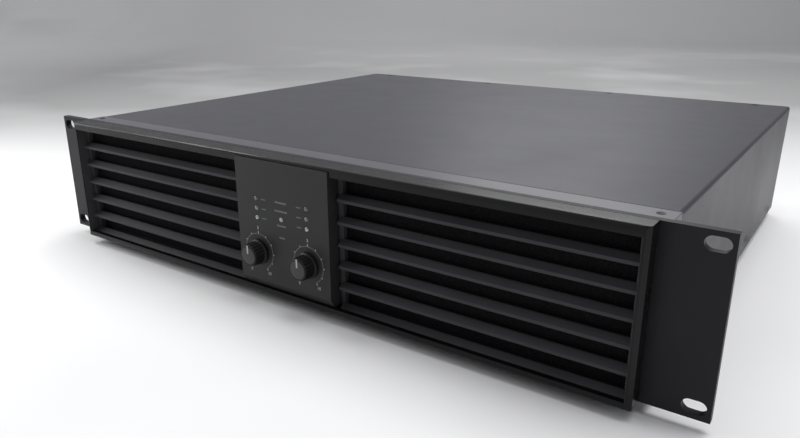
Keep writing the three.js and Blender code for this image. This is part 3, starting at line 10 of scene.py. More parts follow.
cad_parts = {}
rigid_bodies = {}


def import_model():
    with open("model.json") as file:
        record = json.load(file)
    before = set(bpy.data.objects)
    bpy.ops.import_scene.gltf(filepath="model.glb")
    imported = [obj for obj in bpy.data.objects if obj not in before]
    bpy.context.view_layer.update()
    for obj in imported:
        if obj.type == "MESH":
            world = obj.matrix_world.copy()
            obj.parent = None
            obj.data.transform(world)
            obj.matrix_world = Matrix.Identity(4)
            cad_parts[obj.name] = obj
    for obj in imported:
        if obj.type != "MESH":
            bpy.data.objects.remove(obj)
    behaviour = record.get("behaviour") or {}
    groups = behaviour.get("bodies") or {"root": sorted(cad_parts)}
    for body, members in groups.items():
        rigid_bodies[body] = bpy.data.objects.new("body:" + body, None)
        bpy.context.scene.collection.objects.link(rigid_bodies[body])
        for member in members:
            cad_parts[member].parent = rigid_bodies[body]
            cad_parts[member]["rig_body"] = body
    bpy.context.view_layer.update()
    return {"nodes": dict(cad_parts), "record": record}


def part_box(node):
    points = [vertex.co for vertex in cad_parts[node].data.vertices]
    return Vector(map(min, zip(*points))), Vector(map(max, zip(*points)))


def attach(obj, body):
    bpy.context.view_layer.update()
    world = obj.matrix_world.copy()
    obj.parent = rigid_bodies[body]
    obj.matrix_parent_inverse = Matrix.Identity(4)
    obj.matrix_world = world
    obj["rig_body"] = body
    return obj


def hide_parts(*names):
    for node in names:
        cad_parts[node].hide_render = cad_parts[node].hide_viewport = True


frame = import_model()

MM = 0.001
LOW, HIGH = 0, 1
FRONT = Vector((0, -1, 0))
BACK = Vector((0, 1, 0))
UP = Vector((0, 0, 1))
DOWN = Vector((0, 0, -1))
RIGHT = Vector((1, 0, 0))
LEFT = Vector((-1, 0, 0))

# Camera, solved from the corners of the rack panel and the case
CAMERA_PLACE = (0.2791, -0.4751, 0.1864)
CAMERA_AZIMUTH = 34.94
CAMERA_ELEVATION = 18.28
CAMERA_ROLL = -0.1
CAMERA_LENS = 31.23
CAMERA_SENSOR = 36.0
CAMERA_NEAREST = 0.01

# Relief and gloss of the materials. The slope of the tape is the height that it would reach in a whole
# turn of the ring, of which each wrap takes a small share.
PAINT_GRAIN = 0.05 * MM
MOULDED_GRAIN = 0.04 * MM
FOAM_PORE = 0.6 * MM
FOAM_CELLS = 900
RUBBER_GRAIN = 0.07 * MM
DRAW_MARK = 0.03 * MM
TRACK_RISE = 0.05 * MM
TRACK_ROWS = 130
TRACK_WIDTH = 0.06
TAPE_SLOPE = 20 * MM
TAPE_WRAP = 1 / 96
INK_GRAIN = 0.02 * MM
INK_FADE = 0.7
LENS_COAT = 0.5
LENS_COAT_ROUGHNESS = 0.08

# Edges and surfaces
PANEL_BEVEL = 0.4 * MM
SHEET_BEVEL = 0.3 * MM
MOULDING_BEVEL = 0.6 * MM
SMALL_BEVEL = 0.2 * MM
BEVEL_STEPS = 2
BEZEL_ROUNDING = 1.5 * MM
BEZEL_ROUNDING_STEPS = 5
LEVEL_TOLERANCE = 0.02 * MM
WELD = 0.001 * MM
INK_RISE = 0.05 * MM
MARK_SEAT = 0.02 * MM
ROUND_STEPS = 64
SMALL_ROUND_STEPS = 40
ARC_STEPS = 60
NUMBER_STEPS = 4
FLUTE_STEPS = 8
FLUTE_SHARPNESS = 1.6

# Angles in degrees. Faces within the first count as flat, and edges sharper than the others are rounded
# or stay sharp. Below the sine at the end two directions count as parallel.
FLAT_ANGLE = 1
BEVEL_ANGLE = 30
SMOOTH_ANGLE = 35
FLUTED_ANGLE = 40
SWEEP_ANGLE = 60
PARALLEL = 0.01

# Linings of the grille openings, in paler plastic that is painted light on their outer walls. Heights are
# above the bottom edge of the rack panel.
LINING_INSET = 0.5 * MM
LINING_THICKNESS = 0.4 * MM
OPENING_HEIGHTS = (4 * MM, 83 * MM)

# Gain knobs and the marks round them
KNOB_SKIRT_HEIGHT = 1.6 * MM
KNOB_WAIST = 7.3 * MM
KNOB_SHOULDER = 6.9 * MM
KNOB_FLUTES = 20
KNOB_FLUTE_DEPTH = 0.5 * MM
KNOB_FACE_RADIUS = 5.6 * MM
KNOB_CROWN_SHARE = 0.8
KNOB_DISH = 0.3 * MM
KNOB_EDGE = 0.6 * MM
KNOB_BORE = 3.4 * MM
KNOB_ROOF = 2.0 * MM
POINTER_START = 1.4 * MM
POINTER_END = 6.6 * MM
POINTER_WIDTH = 1.1 * MM
DIAL_RADIUS = 11.2 * MM
DIAL_LINE = 0.5 * MM
DIAL_TICK = 1.5 * MM
DIAL_TICK_START_SHARE = 0.8
DIAL_SHORT_TICK_SHARE = 0.6
DIAL_SWEEP = 150.0
DIAL_STEPS = 10
DIAL_NUMBER_RADIUS = 15.2 * MM
DIAL_NUMBER_SIZE = 2.8 * MM

# Indicators. Heights are above the bottom edge of the rack panel.
CHANNEL_X = 20 * MM
LED_RADIUS = 1.4 * MM
LED_RISE = 0.55 * MM
LED_LAYERS = 8
LED_STEPS = 32
LED_HEIGHTS = {"clip": 62 * MM, "level": 56 * MM, "signal": 50 * MM}
POWER_LED_HEIGHT = 52 * MM
DASH_HEIGHT = 1.0 * MM
# Half widths and heights of the plain dashes between the two rows of indicators
CENTRE_DASHES = ((4.5 * MM, 62.3 * MM), (5.0 * MM, 57 * MM), (3.6 * MM, 48 * MM), (2.2 * MM, 40.5 * MM))
SIDE_DASH_REACH = (4.2 * MM, 7.6 * MM)

# Screws. The rows of a head are shares of its radius and rise.
SCREW_RADIUS = 2.9 * MM
SCREW_RISE = 1.7 * MM
SMALL_SCREW_RADIUS = 2.1 * MM
SMALL_SCREW_RISE = 1.2 * MM
FLAT_SCREW_RISE = 0.18 * MM
SCREW_SEAT = 0.02 * MM
PAN_HEAD = ((1.0, 0.0), (1.0, 0.35), (0.93, 0.7), (0.8, 0.92), (0.62, 1.0))
FLAT_HEAD = ((1.0, 0.0), (0.97, 1.0), (0.62, 1.0))
RIM_STEPS = 28
CROSS_ARM_SHARE = 0.15
CROSS_REACH_SHARE = 0.54
CROSS_DEPTH_SHARE = 0.4
CROSS_DEEPEST_SHARE = 0.7
CROSS_TAPER_SHARE = 0.7
COVER_SCREW_HEIGHT = 7.5 * MM
COVER_SCREW_SHARES = (0.12, 0.38, 0.64, 0.9)
COVER_END_INSET = 5.5 * MM
COVER_END_SHARES = (0.06, 0.35, 0.65, 0.94)
FRAME_SCREW_INSET = 7.5 * MM
PLATE_SCREW_INSET = 3.2 * MM
# Rise of the plates of the rear fittings, and the corners of each plate that hold screws
PLATE_SCREWS = {
    "mains_inlet": (2.8 * MM, ((-1, 0), (1, 0))),
    "input_socket_a": (4.3 * MM, ((-1, 1), (1, -1))),
    "input_socket_b": (4.3 * MM, ((-1, 1), (1, -1))),
}
# Turns of the heads in radians, for each share of a row, metre across and up, or side of the fan
SIDE_SPIN = 9
END_SPIN = 7
FRAME_SPIN = 20
REAR_SPIN = (30, 50)
PLATE_SPIN = (40, 20)
FAN_SPIN = (1, 0.7)

# Fan, guard and terminals
GUARD_RING_RADII = (12 * MM, 21 * MM, 30 * MM, 39 * MM)
GUARD_RING_STEPS = 96
GUARD_WIRE = 0.72 * MM
GUARD_WIRE_SIDES = 10
GUARD_ROD_SIDES = 12
GUARD_ROD_ANGLES = (45, 135, 225, 315)
GUARD_EYE = 3.2 * MM
GUARD_EYE_STEPS = 32
EYE_INSET = 4.25 * MM
EYE_RISE = 1.8 * MM
BLADES = 7
BLADE_ROOT = 16.4 * MM
BLADE_TIP = 37.0 * MM
BLADE_THICKNESS = 1.3 * MM
BLADE_EDGE_SHARE = 0.25
BLADE_EDGE_INSET = 0.08
BLADE_SPREAD = math.radians(34)
BLADE_SWEEP = math.radians(16)
BLADE_TAPER = 0.18
BLADE_CAMBER = 0.12
BLADE_MARGIN = 0.5 * MM
BLADE_SPANS = 8
BLADE_CHORDS = 10
HUB_RADIUS = 17 * MM
HUB_EDGE = 1.6 * MM
HUB_WALL = 1.8 * MM
CAP_FLUTES = 12
CAP_FLUTE_DEPTH = 0.8 * MM
CAP_BORE = 3.8 * MM
CAP_LIP = 1.4 * MM

# Contacts. Ends are measured back from the rear panel, and places from the middle of each fitting.
INLET_PINS = ((-7 * MM, -2 * MM), (0, 2.5 * MM), (7 * MM, -2 * MM))
INLET_PIN_HALF = (1.06 * MM, 2.06 * MM)
INLET_PIN_ENDS = (-14 * MM, -0.1 * MM)
CONTACT_CIRCLE = 4 * MM
CONTACT_ANGLES = (-90, 30, 150)
CONTACT_RADII = (0.85 * MM, 1.2 * MM)
CONTACT_ENDS = (-4 * MM, 2.4 * MM)
CONTACT_STEPS = 24
STUD_RADII = (1.95 * MM, 2.15 * MM, 3.4 * MM)
STUD_ENDS = (16 * MM, 24 * MM, 24.5 * MM)

# Marks on the power rocker: half width and half height of the bar, and radii of the ring. The ring is an
# arc that stops just short of a whole turn. The marks lie on faces whose normal points back by the last
# value or more.
ROCKER_BAR = (0.4 * MM, 2.2 * MM)
ROCKER_RING = (1.5 * MM, 2.2 * MM)
ROCKER_RING_SWEEP = 359.9
ROCKER_FACING = 0.8

# Capacitors
CAN_EDGE = 1.2 * MM
CAN_GROOVE_DROP = 7 * MM
VENT_HALF_WIDTH = 0.4 * MM
VENT_ANGLES = (0, 60, 120)

# Feet
FOOT_WALL_TOP = 10 * MM
FOOT_WALL_TREAD = 8.5 * MM
FOOT_EDGE = 0.9 * MM
FOOT_RECESS = 3.5 * MM
FOOT_RECESS_DEPTH = 3.0 * MM
WASHER_RADIUS = 3.3 * MM
WASHER_RISE = 0.5 * MM

# Studio. The floor is white near the object and bends up into a low wall. Painted shade greys the floor
# behind the object, the wall is a little paler, and painted light makes the left paler still.
WALL_DISTANCE = 1.9
WALL_RADIUS = 0.7
WALL_HEIGHT = 1.1
BEND_STEPS = 24
FLOOR_REACH = 3.5
STAGE_HALF_WIDTH = 5.0
FLOOR_TONE = 245
SHADE_FADE_START = 0.04
SHADE_FADE_END = 0.62
SHADE_FADE_TONE = 175
PALE_START = 1.2
PALE_END = 2.6
PALE_TONE = 238
LEFT_LIGHT_START = -0.75
LEFT_LIGHT_END = -1.5
LEFT_LIGHT_TONE = 252
CLOUD_TONE = 222
ROOM_COLOUR = (0.93, 0.94, 1.0, 1.0)
ROOM_LIGHT = 0.22
ROOM_SEEN = 0.45
# Place, target, width, height and power of each lamp
LAMPS = {
    "ceiling": ((0.0, 0.25, 1.9), (0, 0, 0), 2.2, 1.8, 12.5),
    "key": ((0.45, 0.1, 1.1), (0.15, 0.05, 0), 0.8, 0.8, 7),
    "behind": ((-1.15, 1.6, 1.6), (0, 0, 0), 3.0, 0.9, 7),
    "sheen": ((-0.5, 1.5, 1.05), (0.1, -0.1, 0.09), 0.7, 0.5, 4),
    "right": ((1.5, -0.2, 0.6), (0, -0.1, 0.05), 0.7, 0.7, 2.2),
    "near_left": ((-0.62, -0.42, 0.32), (-0.2, -0.19, 0.04), 0.35, 0.35, 1.8),
    "edge": ((-0.85, -0.15, 0.85), (-0.1, -0.19, 0.09), 0.25, 0.25, 2.4),
}


def srgb(red, green, blue):
    """A colour written as it looks on a screen, from 0 to 255, as linear light."""
    def linear(value):
        share = value / 255
        return share / 12.92 if share <= 0.04045 else ((share + 0.055) / 1.055) ** 2.4
    return (linear(red), linear(green), linear(blue), 1.0)


def grey(value):
    return srgb(value, value, value)


# Materials
class Shader:
    """A procedural material that is built up node by node."""

    def __init__(self, name, colour, roughness, metallic=0.0, specular=0.5):
        self.material = bpy.data.materials.new(name)
        self.material.use_nodes = True
        self.nodes = self.material.node_tree.nodes
        self.links = self.material.node_tree.links
        self.surface = self.nodes["Principled BSDF"]
        self.surface.inputs["Base Color"].default_value = colour
        self.surface.inputs["Roughness"].default_value = roughness
        self.surface.inputs["Metallic"].default_value = metallic
        self.surface.inputs["Specular IOR Level"].default_value = specular
        self.place = self.nodes.new("ShaderNodeTexCoord").outputs["Object"]
        self.colour = colour
        self.roughness = roughness
        self.height = None

    def noise(self, scale, detail=2.0, roughness=0.5, stretch=None):
        texture = self.nodes.new("ShaderNodeTexNoise")
        texture.inputs["Scale"].default_value = scale
        texture.inputs["Detail"].default_value = detail
        texture.inputs["Roughness"].default_value = roughness
        self.links.new(self.stretched(stretch), texture.inputs["Vector"])
        return texture.outputs["Fac"]

    def stretched(self, stretch):
        if stretch is None:
            return self.place
        mapping = self.nodes.new("ShaderNodeMapping")
        mapping.inputs["Scale"].default_value = stretch
        self.links.new(self.place, mapping.inputs["Vector"])
        return mapping.outputs["Vector"]

    def spread(self, value, low, high, start=0.3, end=0.7):
        ramp = self.nodes.new("ShaderNodeMapRange")
        ramp.inputs["From Min"].default_value = start
        ramp.inputs["From Max"].default_value = end
        ramp.inputs["To Min"].default_value = low
        ramp.inputs["To Max"].default_value = high
        self.links.new(value, ramp.inputs["Value"])
        return ramp.outputs["Result"]

    def vary_roughness(self, value, amount):
        result = self.spread(value, self.roughness - amount, self.roughness + amount)
        self.links.new(result, self.surface.inputs["Roughness"])

    def mix_colour(self, value, other, start=0.3, end=0.7):
        """Blend from the colour so far to another one as the value rises."""
        mix = self.nodes.new("ShaderNodeMix")
        mix.data_type = "RGBA"
        self.links.new(self.spread(value, 0.0, 1.0, start, end), mix.inputs["Factor"])
        colours = [socket for socket in mix.inputs if socket.type == "RGBA"]
        result = [socket for socket in mix.outputs if socket.type == "RGBA"][0]
        base = self.surface.inputs["Base Color"]
        if base.links:
            self.links.new(base.links[0].from_socket, colours[0])
        else:
            colours[0].default_value = self.colour
        colours[1].default_value = other
        self.links.new(result, base)

    def bump(self, value, distance, strength=1.0):
        node = self.nodes.new("ShaderNodeBump")
        node.inputs["Distance"].default_value = distance
        node.inputs["Strength"].default_value = strength
        self.links.new(value, node.inputs["Height"])
        if self.height is not None:
            self.links.new(self.height, node.inputs["Normal"])
        self.height = node.outputs["Normal"]
        self.links.new(self.height, self.surface.inputs["Normal"])


def powder_coat(name, colour, worn, roughness, specular):
    """Baked paint: fine grain, slow waves in the gloss and faint handling marks."""
    shader = Shader(name, colour, roughness, specular=specular)
    shader.vary_roughness(shader.noise(scale=14, detail=3.0), amount=0.04)
    shader.mix_colour(shader.noise(scale=45, detail=5.0, roughness=0.65), worn, start=0.45, end=0.8)
    shader.bump(shader.noise(scale=1400), PAINT_GRAIN, strength=0.45)
    return shader.material


def moulded(name, colour, light, roughness, specular=0.45, grain=0.5):
    """Moulded plastic: spark-eroded grain and slight clouding."""
    shader = Shader(name, colour, roughness, specular=specular)
    clouds = shader.noise(scale=40, detail=3.0)
    shader.vary_roughness(clouds, amount=0.06)
    shader.mix_colour(clouds, light, start=0.35, end=0.8)
    shader.bump(shader.noise(scale=2200), MOULDED_GRAIN, strength=grain)
    return shader.material


def foam(name, colour, light):
    """Open-cell foam: lighter strands, with painted shade in the small pores between them."""
    shader = Shader(name, colour, roughness=0.95, specular=0.05)
    cells = shader.nodes.new("ShaderNodeTexVoronoi")
    cells.inputs["Scale"].default_value = FOAM_CELLS
    cells.feature = "DISTANCE_TO_EDGE"
    shader.links.new(shader.place, cells.inputs["Vector"])
    shader.mix_colour(cells.outputs["Distance"], light, start=0.25, end=0.02)
    shader.bump(cells.outputs["Distance"], FOAM_PORE)
    return shader.material


def rubber(name, colour, light):
    """Black rubber with dust on it."""
    shader = Shader(name, colour, roughness=0.8, specular=0.3)
    dust = shader.noise(scale=260, detail=4.0, roughness=0.65)
    shader.mix_colour(dust, light, start=0.5, end=0.8)
    shader.bump(shader.noise(scale=1700), RUBBER_GRAIN, strength=0.7)
    return shader.material


def plated(name, colour, dull, roughness, brushed=(1.0, 1.0, 1.0)):
    """Plated or bare metal with fine draw marks and duller patches."""
    shader = Shader(name, colour, roughness, metallic=1.0)
    patches = shader.noise(scale=150, detail=4.0, roughness=0.6)
    shader.vary_roughness(patches, amount=0.1)
    shader.mix_colour(patches, dull, start=0.4, end=0.8)
    marks = shader.noise(scale=900, detail=3.0, roughness=0.6, stretch=brushed)
    shader.bump(marks, DRAW_MARK, strength=0.4)
    return shader.material


def board_mask(name, colour, track):
    """Solder mask with copper tracks showing faintly through it."""
    shader = Shader(name, colour, roughness=0.4)
    bricks = shader.nodes.new("ShaderNodeTexBrick")
    bricks.inputs["Scale"].default_value = TRACK_ROWS
    bricks.inputs["Mortar Size"].default_value = TRACK_WIDTH
    shader.links.new(shader.place, bricks.inputs["Vector"])
    shader.mix_colour(bricks.outputs["Fac"], track, start=0.2, end=0.9)
    shader.mix_colour(shader.noise(scale=90, detail=3.0), colour)
    shader.bump(bricks.outputs["Fac"], TRACK_RISE, strength=0.5)
    return shader.material


def wound_tape(name, colour, dark):
    """Overlapping turns of thin tape round a ring."""
    shader = Shader(name, colour, roughness=0.35)
    turns = shader.nodes.new("ShaderNodeTexGradient")
    turns.gradient_type = "RADIAL"
    low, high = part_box("toroid_transformer")
    mapping = shader.nodes.new("ShaderNodeMapping")
    mapping.inputs["Location"].default_value = (-(low[0] + high[0]) / 2, -(low[1] + high[1]) / 2, 0)
    shader.links.new(shader.place, mapping.inputs["Vector"])
    shader.links.new(mapping.outputs["Vector"], turns.inputs["Vector"])
    repeat = shader.nodes.new("ShaderNodeMath")
    repeat.operation = "PINGPONG"
    repeat.inputs[1].default_value = TAPE_WRAP
    shader.links.new(turns.outputs["Fac"], repeat.inputs[0])
    shader.mix_colour(repeat.outputs["Value"], dark, start=0.0, end=TAPE_WRAP)
    shader.bump(repeat.outputs["Value"], TAPE_SLOPE, strength=0.8)
    return shader.material


def printed(name, colour):
    """Screen-printed ink, slightly uneven."""
    shader = Shader(name, colour, roughness=0.6, specular=0.3)
    dim = tuple(channel * INK_FADE for channel in colour[:3]) + (1.0,)
    shader.mix_colour(shader.noise(scale=700, detail=3.0), dim, start=0.35, end=0.75)
    shader.bump(shader.noise(scale=2600), INK_GRAIN, strength=0.4)
    return shader.material


def lens(name, colour, core):
    """Tinted lens: glossy, with a paler middle that clouds slightly."""
    shader = Shader(name, colour, roughness=0.15, specular=0.6)
    shader.mix_colour(shader.noise(scale=500), core, start=0.35, end=0.75)
    shader.surface.inputs["Coat Weight"].default_value = LENS_COAT
    shader.surface.inputs["Coat Roughness"].default_value = LENS_COAT_ROUGHNESS
    return shader.material


# Each row gives the material's name, its two colours and its roughness. Paint and plastic add the specular
# level, plastic the strength of its grain, and metal the stretch of its draw marks.
finishes = {
    "panel_paint": powder_coat("panel_paint", srgb(18, 18, 22), srgb(23, 23, 27), 0.5, 0.25),
    "cover_paint": powder_coat("cover_paint", srgb(55, 55, 61), srgb(60, 60, 66), 0.42, 0.23),
    # The front frame takes a lighter copy of the cover paint: painted light on the front strip of the case
    # top
    "lit_frame_paint": powder_coat("lit_frame_paint", srgb(68, 68, 74), srgb(73, 73, 79), 0.38, 0.5),
    "bezel_plastic": moulded("bezel_plastic", srgb(12, 12, 13), srgb(16, 16, 17), 0.3, 0.2, 0.2),
    "louvre_plastic": moulded("louvre_plastic", srgb(63, 63, 65), srgb(69, 69, 71), 0.5, 0.1),
    "module_plastic": moulded("module_plastic", grey(42), grey(47), 0.5, 0.25),
    "knob_plastic": moulded("knob_plastic", srgb(14, 14, 15), srgb(20, 20, 21), 0.45, 0.25),
    "knob_face": moulded("knob_face", grey(58), grey(64), 0.45, 0.3),
    "black_plastic": moulded("black_plastic", srgb(26, 26, 27), srgb(33, 33, 34), 0.45),
    "red_plastic": moulded("red_plastic", srgb(150, 26, 22), srgb(164, 36, 30), 0.35),
    "filter_foam": foam("filter_foam", srgb(18, 18, 19), srgb(30, 30, 31)),
    "foot_rubber": rubber("foot_rubber", grey(24), srgb(46, 45, 44)),
    "zinc_steel": plated("zinc_steel", srgb(190, 192, 194), srgb(160, 162, 166), 0.35),
    "socket_metal": plated("black_steel", srgb(44, 44, 46), srgb(30, 30, 32), 0.42),
    "heatsink_aluminium": plated("aluminium", grey(188), grey(160), 0.42, (9.0, 0.6, 9.0)),
    "latch_nickel": plated("nickel", srgb(204, 200, 192), srgb(176, 172, 164), 0.28),
    "brass": plated("brass", srgb(214, 178, 96), srgb(180, 148, 80), 0.3),
    "circuit_board": board_mask("circuit_board", srgb(34, 86, 52), srgb(50, 112, 66)),
    "winding_tape": wound_tape("winding_tape", srgb(168, 124, 52), srgb(120, 84, 34)),
    "capacitor_sleeve": moulded("capacitor_sleeve", srgb(24, 36, 66), srgb(32, 46, 80), 0.35),
    "ribbon_grey": moulded("ribbon_grey", srgb(142, 144, 148), srgb(158, 160, 164), 0.55),
    "white_ink": printed("white_ink", grey(190)),
    "grey_ink": printed("grey_ink", grey(112)),
    "clear_plastic": lens("clear_plastic", srgb(120, 120, 116), srgb(176, 176, 170)),
    "clip_lens": lens("clip_lens", srgb(78, 66, 64), srgb(104, 88, 84)),
    "level_lens": lens("level_lens", srgb(96, 92, 80), srgb(126, 120, 104)),
    "signal_lens": lens("signal_lens", srgb(138, 144, 138), srgb(180, 188, 180)),
}


# Frame
def body_of(node):
    return frame["nodes"][node]["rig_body"]


def nodes_named(start):
    return [node for node in sorted(frame["nodes"]) if node.startswith(start)]


def ends(node):
    """The lowest and the highest corner of a node's box."""
    low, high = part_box(node)
    return Vector(low), Vector(high)


def middle(node):
    low, high = ends(node)
    return (low + high) / 2


def show(thing):
    """Put an object in the scene."""
    bpy.context.scene.collection.objects.link(thing)


def new_piece(name, mesh, finish, body, slot_name, *replaced):
    """Show a mesh with its finish, and let it ride on a body."""
    piece = bpy.data.objects.new(name, mesh)
    show(piece)
    piece.data.materials.append(finishes[finish])
    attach(piece, body)
    if replaced:
        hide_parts(*replaced)
    return piece


# Mesh tools
def smooth(mesh, angle=SMOOTH_ANGLE):
    """Smooth shading, with edges sharper than the angle kept sharp."""
    for polygon in mesh.polygons:
        polygon.use_smooth = True
    mesh.set_sharp_from_angle(angle=math.radians(angle))


def mesh_from(name, bm, angle=SMOOTH_ANGLE):
    bmesh.ops.recalc_face_normals(bm, faces=bm.faces)
    mesh = bpy.data.meshes.new(name)
    bm.to_mesh(mesh)
    bm.free()
    smooth(mesh, angle)
    return mesh


def facing(place, out, up=UP):
    """A placing whose Z looks out of a surface and whose Y points up on it."""
    out = Vector(out).normalized()
    across = Vector(up).cross(out)
    if across.length < PARALLEL:
        across = RIGHT.copy()
    across.normalize()
    upward = out.cross(across)
    turn = Matrix((across, upward, out)).transposed().to_4x4()
    return Matrix.Translation(place) @ turn


def step_angle(step, steps):
    """The angle of one of so many even steps round a circle."""
    return 2 * math.pi * step / steps


def polar(radius, angle, height):
    """A point at a radius and an angle round Z."""
    return (radius * math.cos(angle), radius * math.sin(angle), height)


def since(bm, start):
    bm.verts.ensure_lookup_table()
    return bm.verts[start:]


def join_rings(bm, rings):
    """Faces between each ring of points and the next. A ring may be a single point."""
    for this, after in zip(rings, rings[1:]):
        steps = max(len(this), len(after))
        for step in range(steps):
            beside = (step + 1) % steps
            corners = (this[step % len(this)], this[beside % len(this)],
                       after[beside % len(after)], after[step % len(after)])
            unique = list(dict.fromkeys(corners))
            if len(unique) > 2:
                bm.faces.new(unique)


def lathe(bm, profile, placing, steps=ROUND_STEPS, flutes=0):
    """Turn a profile of (radius, height, flute depth) round the Z of a placing. Plain rows have no depth."""
    start = len(bm.verts)
    rings = []
    for row in profile:
        radius, height = row[0], row[1]
        cut = row[2] if len(row) > 2 else 0.0
        if radius < WELD:
            rings.append([bm.verts.new((0, 0, height))])
            continue
        ring = []
        for step in range(steps):
            angle = step_angle(step, steps)
            groove = (0.5 + 0.5 * math.cos(flutes * angle)) ** FLUTE_SHARPNESS
            ring.append(bm.verts.new(polar(radius - cut * groove, angle, height)))
        rings.append(ring)
    join_rings(bm, rings)
    bmesh.ops.transform(bm, matrix=placing, verts=since(bm, start))


def tube_loop(bm, radius, wire, placing, steps):
    """A round wire bent to a ring."""
    start = len(bm.verts)
    rings = []
    for step in range(steps):
        ring = []
        for side in range(GUARD_WIRE_SIDES):
            turn = step_angle(side, GUARD_WIRE_SIDES)
            reach = radius + wire * math.cos(turn)
            ring.append(bm.verts.new(polar(reach, step_angle(step, steps), wire * math.sin(turn))))
        rings.append(ring)
    join_rings(bm, rings + rings[:1])
    bmesh.ops.transform(bm, matrix=placing, verts=since(bm, start))


def plate(bm, across, upward, placing, rise=INK_RISE):
    """A thin flat mark between two pairs of limits on a placed surface."""
    start = len(bm.verts)
    corners = [bm.verts.new((x, y, z)) for x in across for y in upward for z in (0, rise)]
    for face in ((0, 1, 3, 2), (4, 6, 7, 5), (0, 4, 5, 1), (2, 3, 7, 6), (0, 2, 6, 4), (1, 5, 7, 3)):
        bm.faces.new([corners[i] for i in face])
    bmesh.ops.transform(bm, matrix=placing, verts=since(bm, start))


def arc_band(bm, inner, outer, first, last, placing):
    """A thin flat arc. Its angles run clockwise from straight up."""
    start = len(bm.verts)
    rows = []
    for step in range(ARC_STEPS + 1):
        angle = math.radians(first + (last - first) * step / ARC_STEPS)
        x, y = math.sin(angle), math.cos(angle)
        rows.append([bm.verts.new((radius * x, radius * y, z))
                     for radius, z in ((inner, 0), (inner, INK_RISE), (outer, INK_RISE), (outer, 0))])
    join_rings(bm, rows)
    bm.faces.new(rows[0])
    bm.faces.new(rows[-1])
    bmesh.ops.transform(bm, matrix=placing, verts=since(bm, start))


def number(bm, text, size, placing):
    """A printed number, made solid."""
    start = len(bm.verts)
    curve = bpy.data.curves.new("number", "FONT")
    curve.body = text
    curve.size = size
    curve.align_x = "CENTER"
    curve.align_y = "CENTER"
    curve.extrude = INK_RISE / 2
    curve.resolution_u = NUMBER_STEPS
    holder = bpy.data.objects.new("number", curve)
    mesh = bpy.data.meshes.new_from_object(holder)
    bm.from_mesh(mesh)
    bpy.data.objects.remove(holder)
    bpy.data.meshes.remove(mesh)
    bpy.data.curves.remove(curve)
    lift = Matrix.Translation((0, 0, INK_RISE / 2))
    bmesh.ops.transform(bm, matrix=placing @ lift, verts=since(bm, start))


def cross_screw(bm, place, out, radius=SCREW_RADIUS, rise=SCREW_RISE, head=PAN_HEAD, turn=0.0):
    """A screw head with a cross recess. It sits at a place and faces out of the surface."""
    start = len(bm.verts)
    rings = []
    for reach, up in head:
        rings.append([bm.verts.new(polar(reach * radius, step_angle(step, RIM_STEPS), up * rise))
                      for step in range(RIM_STEPS)])
    join_rings(bm, rings)
    bm.faces.new(rings[0][::-1])
    arm = radius * CROSS_ARM_SHARE
    tip = radius * CROSS_REACH_SHARE
    cross = []
    for quarter in range(4):
        spin = Matrix.Rotation(quarter * math.pi / 2 + turn, 3, "Z")
        for x, y in ((tip, -arm), (tip, arm), (arm, arm)):
            spot = spin @ Vector((x, y, 0))
            cross.append(bm.verts.new((spot.x, spot.y, rise)))
    depth = min(radius * CROSS_DEPTH_SHARE, rise * CROSS_DEEPEST_SHARE)
    floor = [bm.verts.new((
        v.co.x * CROSS_TAPER_SHARE, v.co.y * CROSS_TAPER_SHARE, rise - depth)) for v in cross]
    join_rings(bm, [cross, floor])
    bm.faces.new(floor)
    edges = []
    for ring in (rings[-1], cross):
        for step in range(len(ring)):
            pair = (ring[step], ring[(step + 1) % len(ring)])
            edges.append(bm.edges.get(pair) or bm.edges.new(pair))
    bmesh.ops.triangle_fill(bm, use_beauty=True, edges=edges)
    seat = Vector(place) + Vector(out) * SCREW_SEAT
    bmesh.ops.transform(bm, matrix=facing(seat, out), verts=since(bm, start))


# CAD nodes with rounded edges
def round_long_edges(bm):
    """Round the top and bottom edges along the front of the bezel."""
    front = min(v.co.y for v in bm.verts)
    levels = (min(v.co.z for v in bm.verts), max(v.co.z for v in bm.verts))

    def runs_along(edge, level):
        return all(abs(v.co.y - front) < LEVEL_TOLERANCE and abs(v.co.z - level) < LEVEL_TOLERANCE
                   for v in edge.verts)

    edges = [edge for edge in bm.edges for level in levels if runs_along(edge, level)]
    bmesh.ops.bevel(
        bm, geom=edges, offset=BEZEL_ROUNDING, segments=BEZEL_ROUNDING_STEPS, profile=0.5, affect="EDGES")


def dress(node, finish, bevel, slot_name):
    """Show a CAD node with its flat faces joined up, rounded edges and its own material."""
    bm = bmesh.new()
    bm.from_mesh(frame["nodes"][node].data)
    bmesh.ops.remove_doubles(bm, verts=bm.verts, dist=WELD)
    bmesh.ops.dissolve_limit(
        bm, angle_limit=math.radians(FLAT_ANGLE), verts=bm.verts, edges=bm.edges, delimit={"NORMAL"})
    if node == "front_bezel":
        round_long_edges(bm)
    mesh = bpy.data.meshes.new(node)
    bm.to_mesh(mesh)
    bm.free()
    piece = new_piece("fine_" + node, mesh, finish, body_of(node), slot_name, node)
    rounding = piece.modifiers.new("rounded_edges", "BEVEL")
    rounding.width = bevel
    rounding.segments = BEVEL_STEPS
    rounding.limit_method = "ANGLE"
    rounding.angle_limit = math.radians(BEVEL_ANGLE)
    rounding.harden_normals = True
    smooth(mesh, BEVEL_ANGLE)


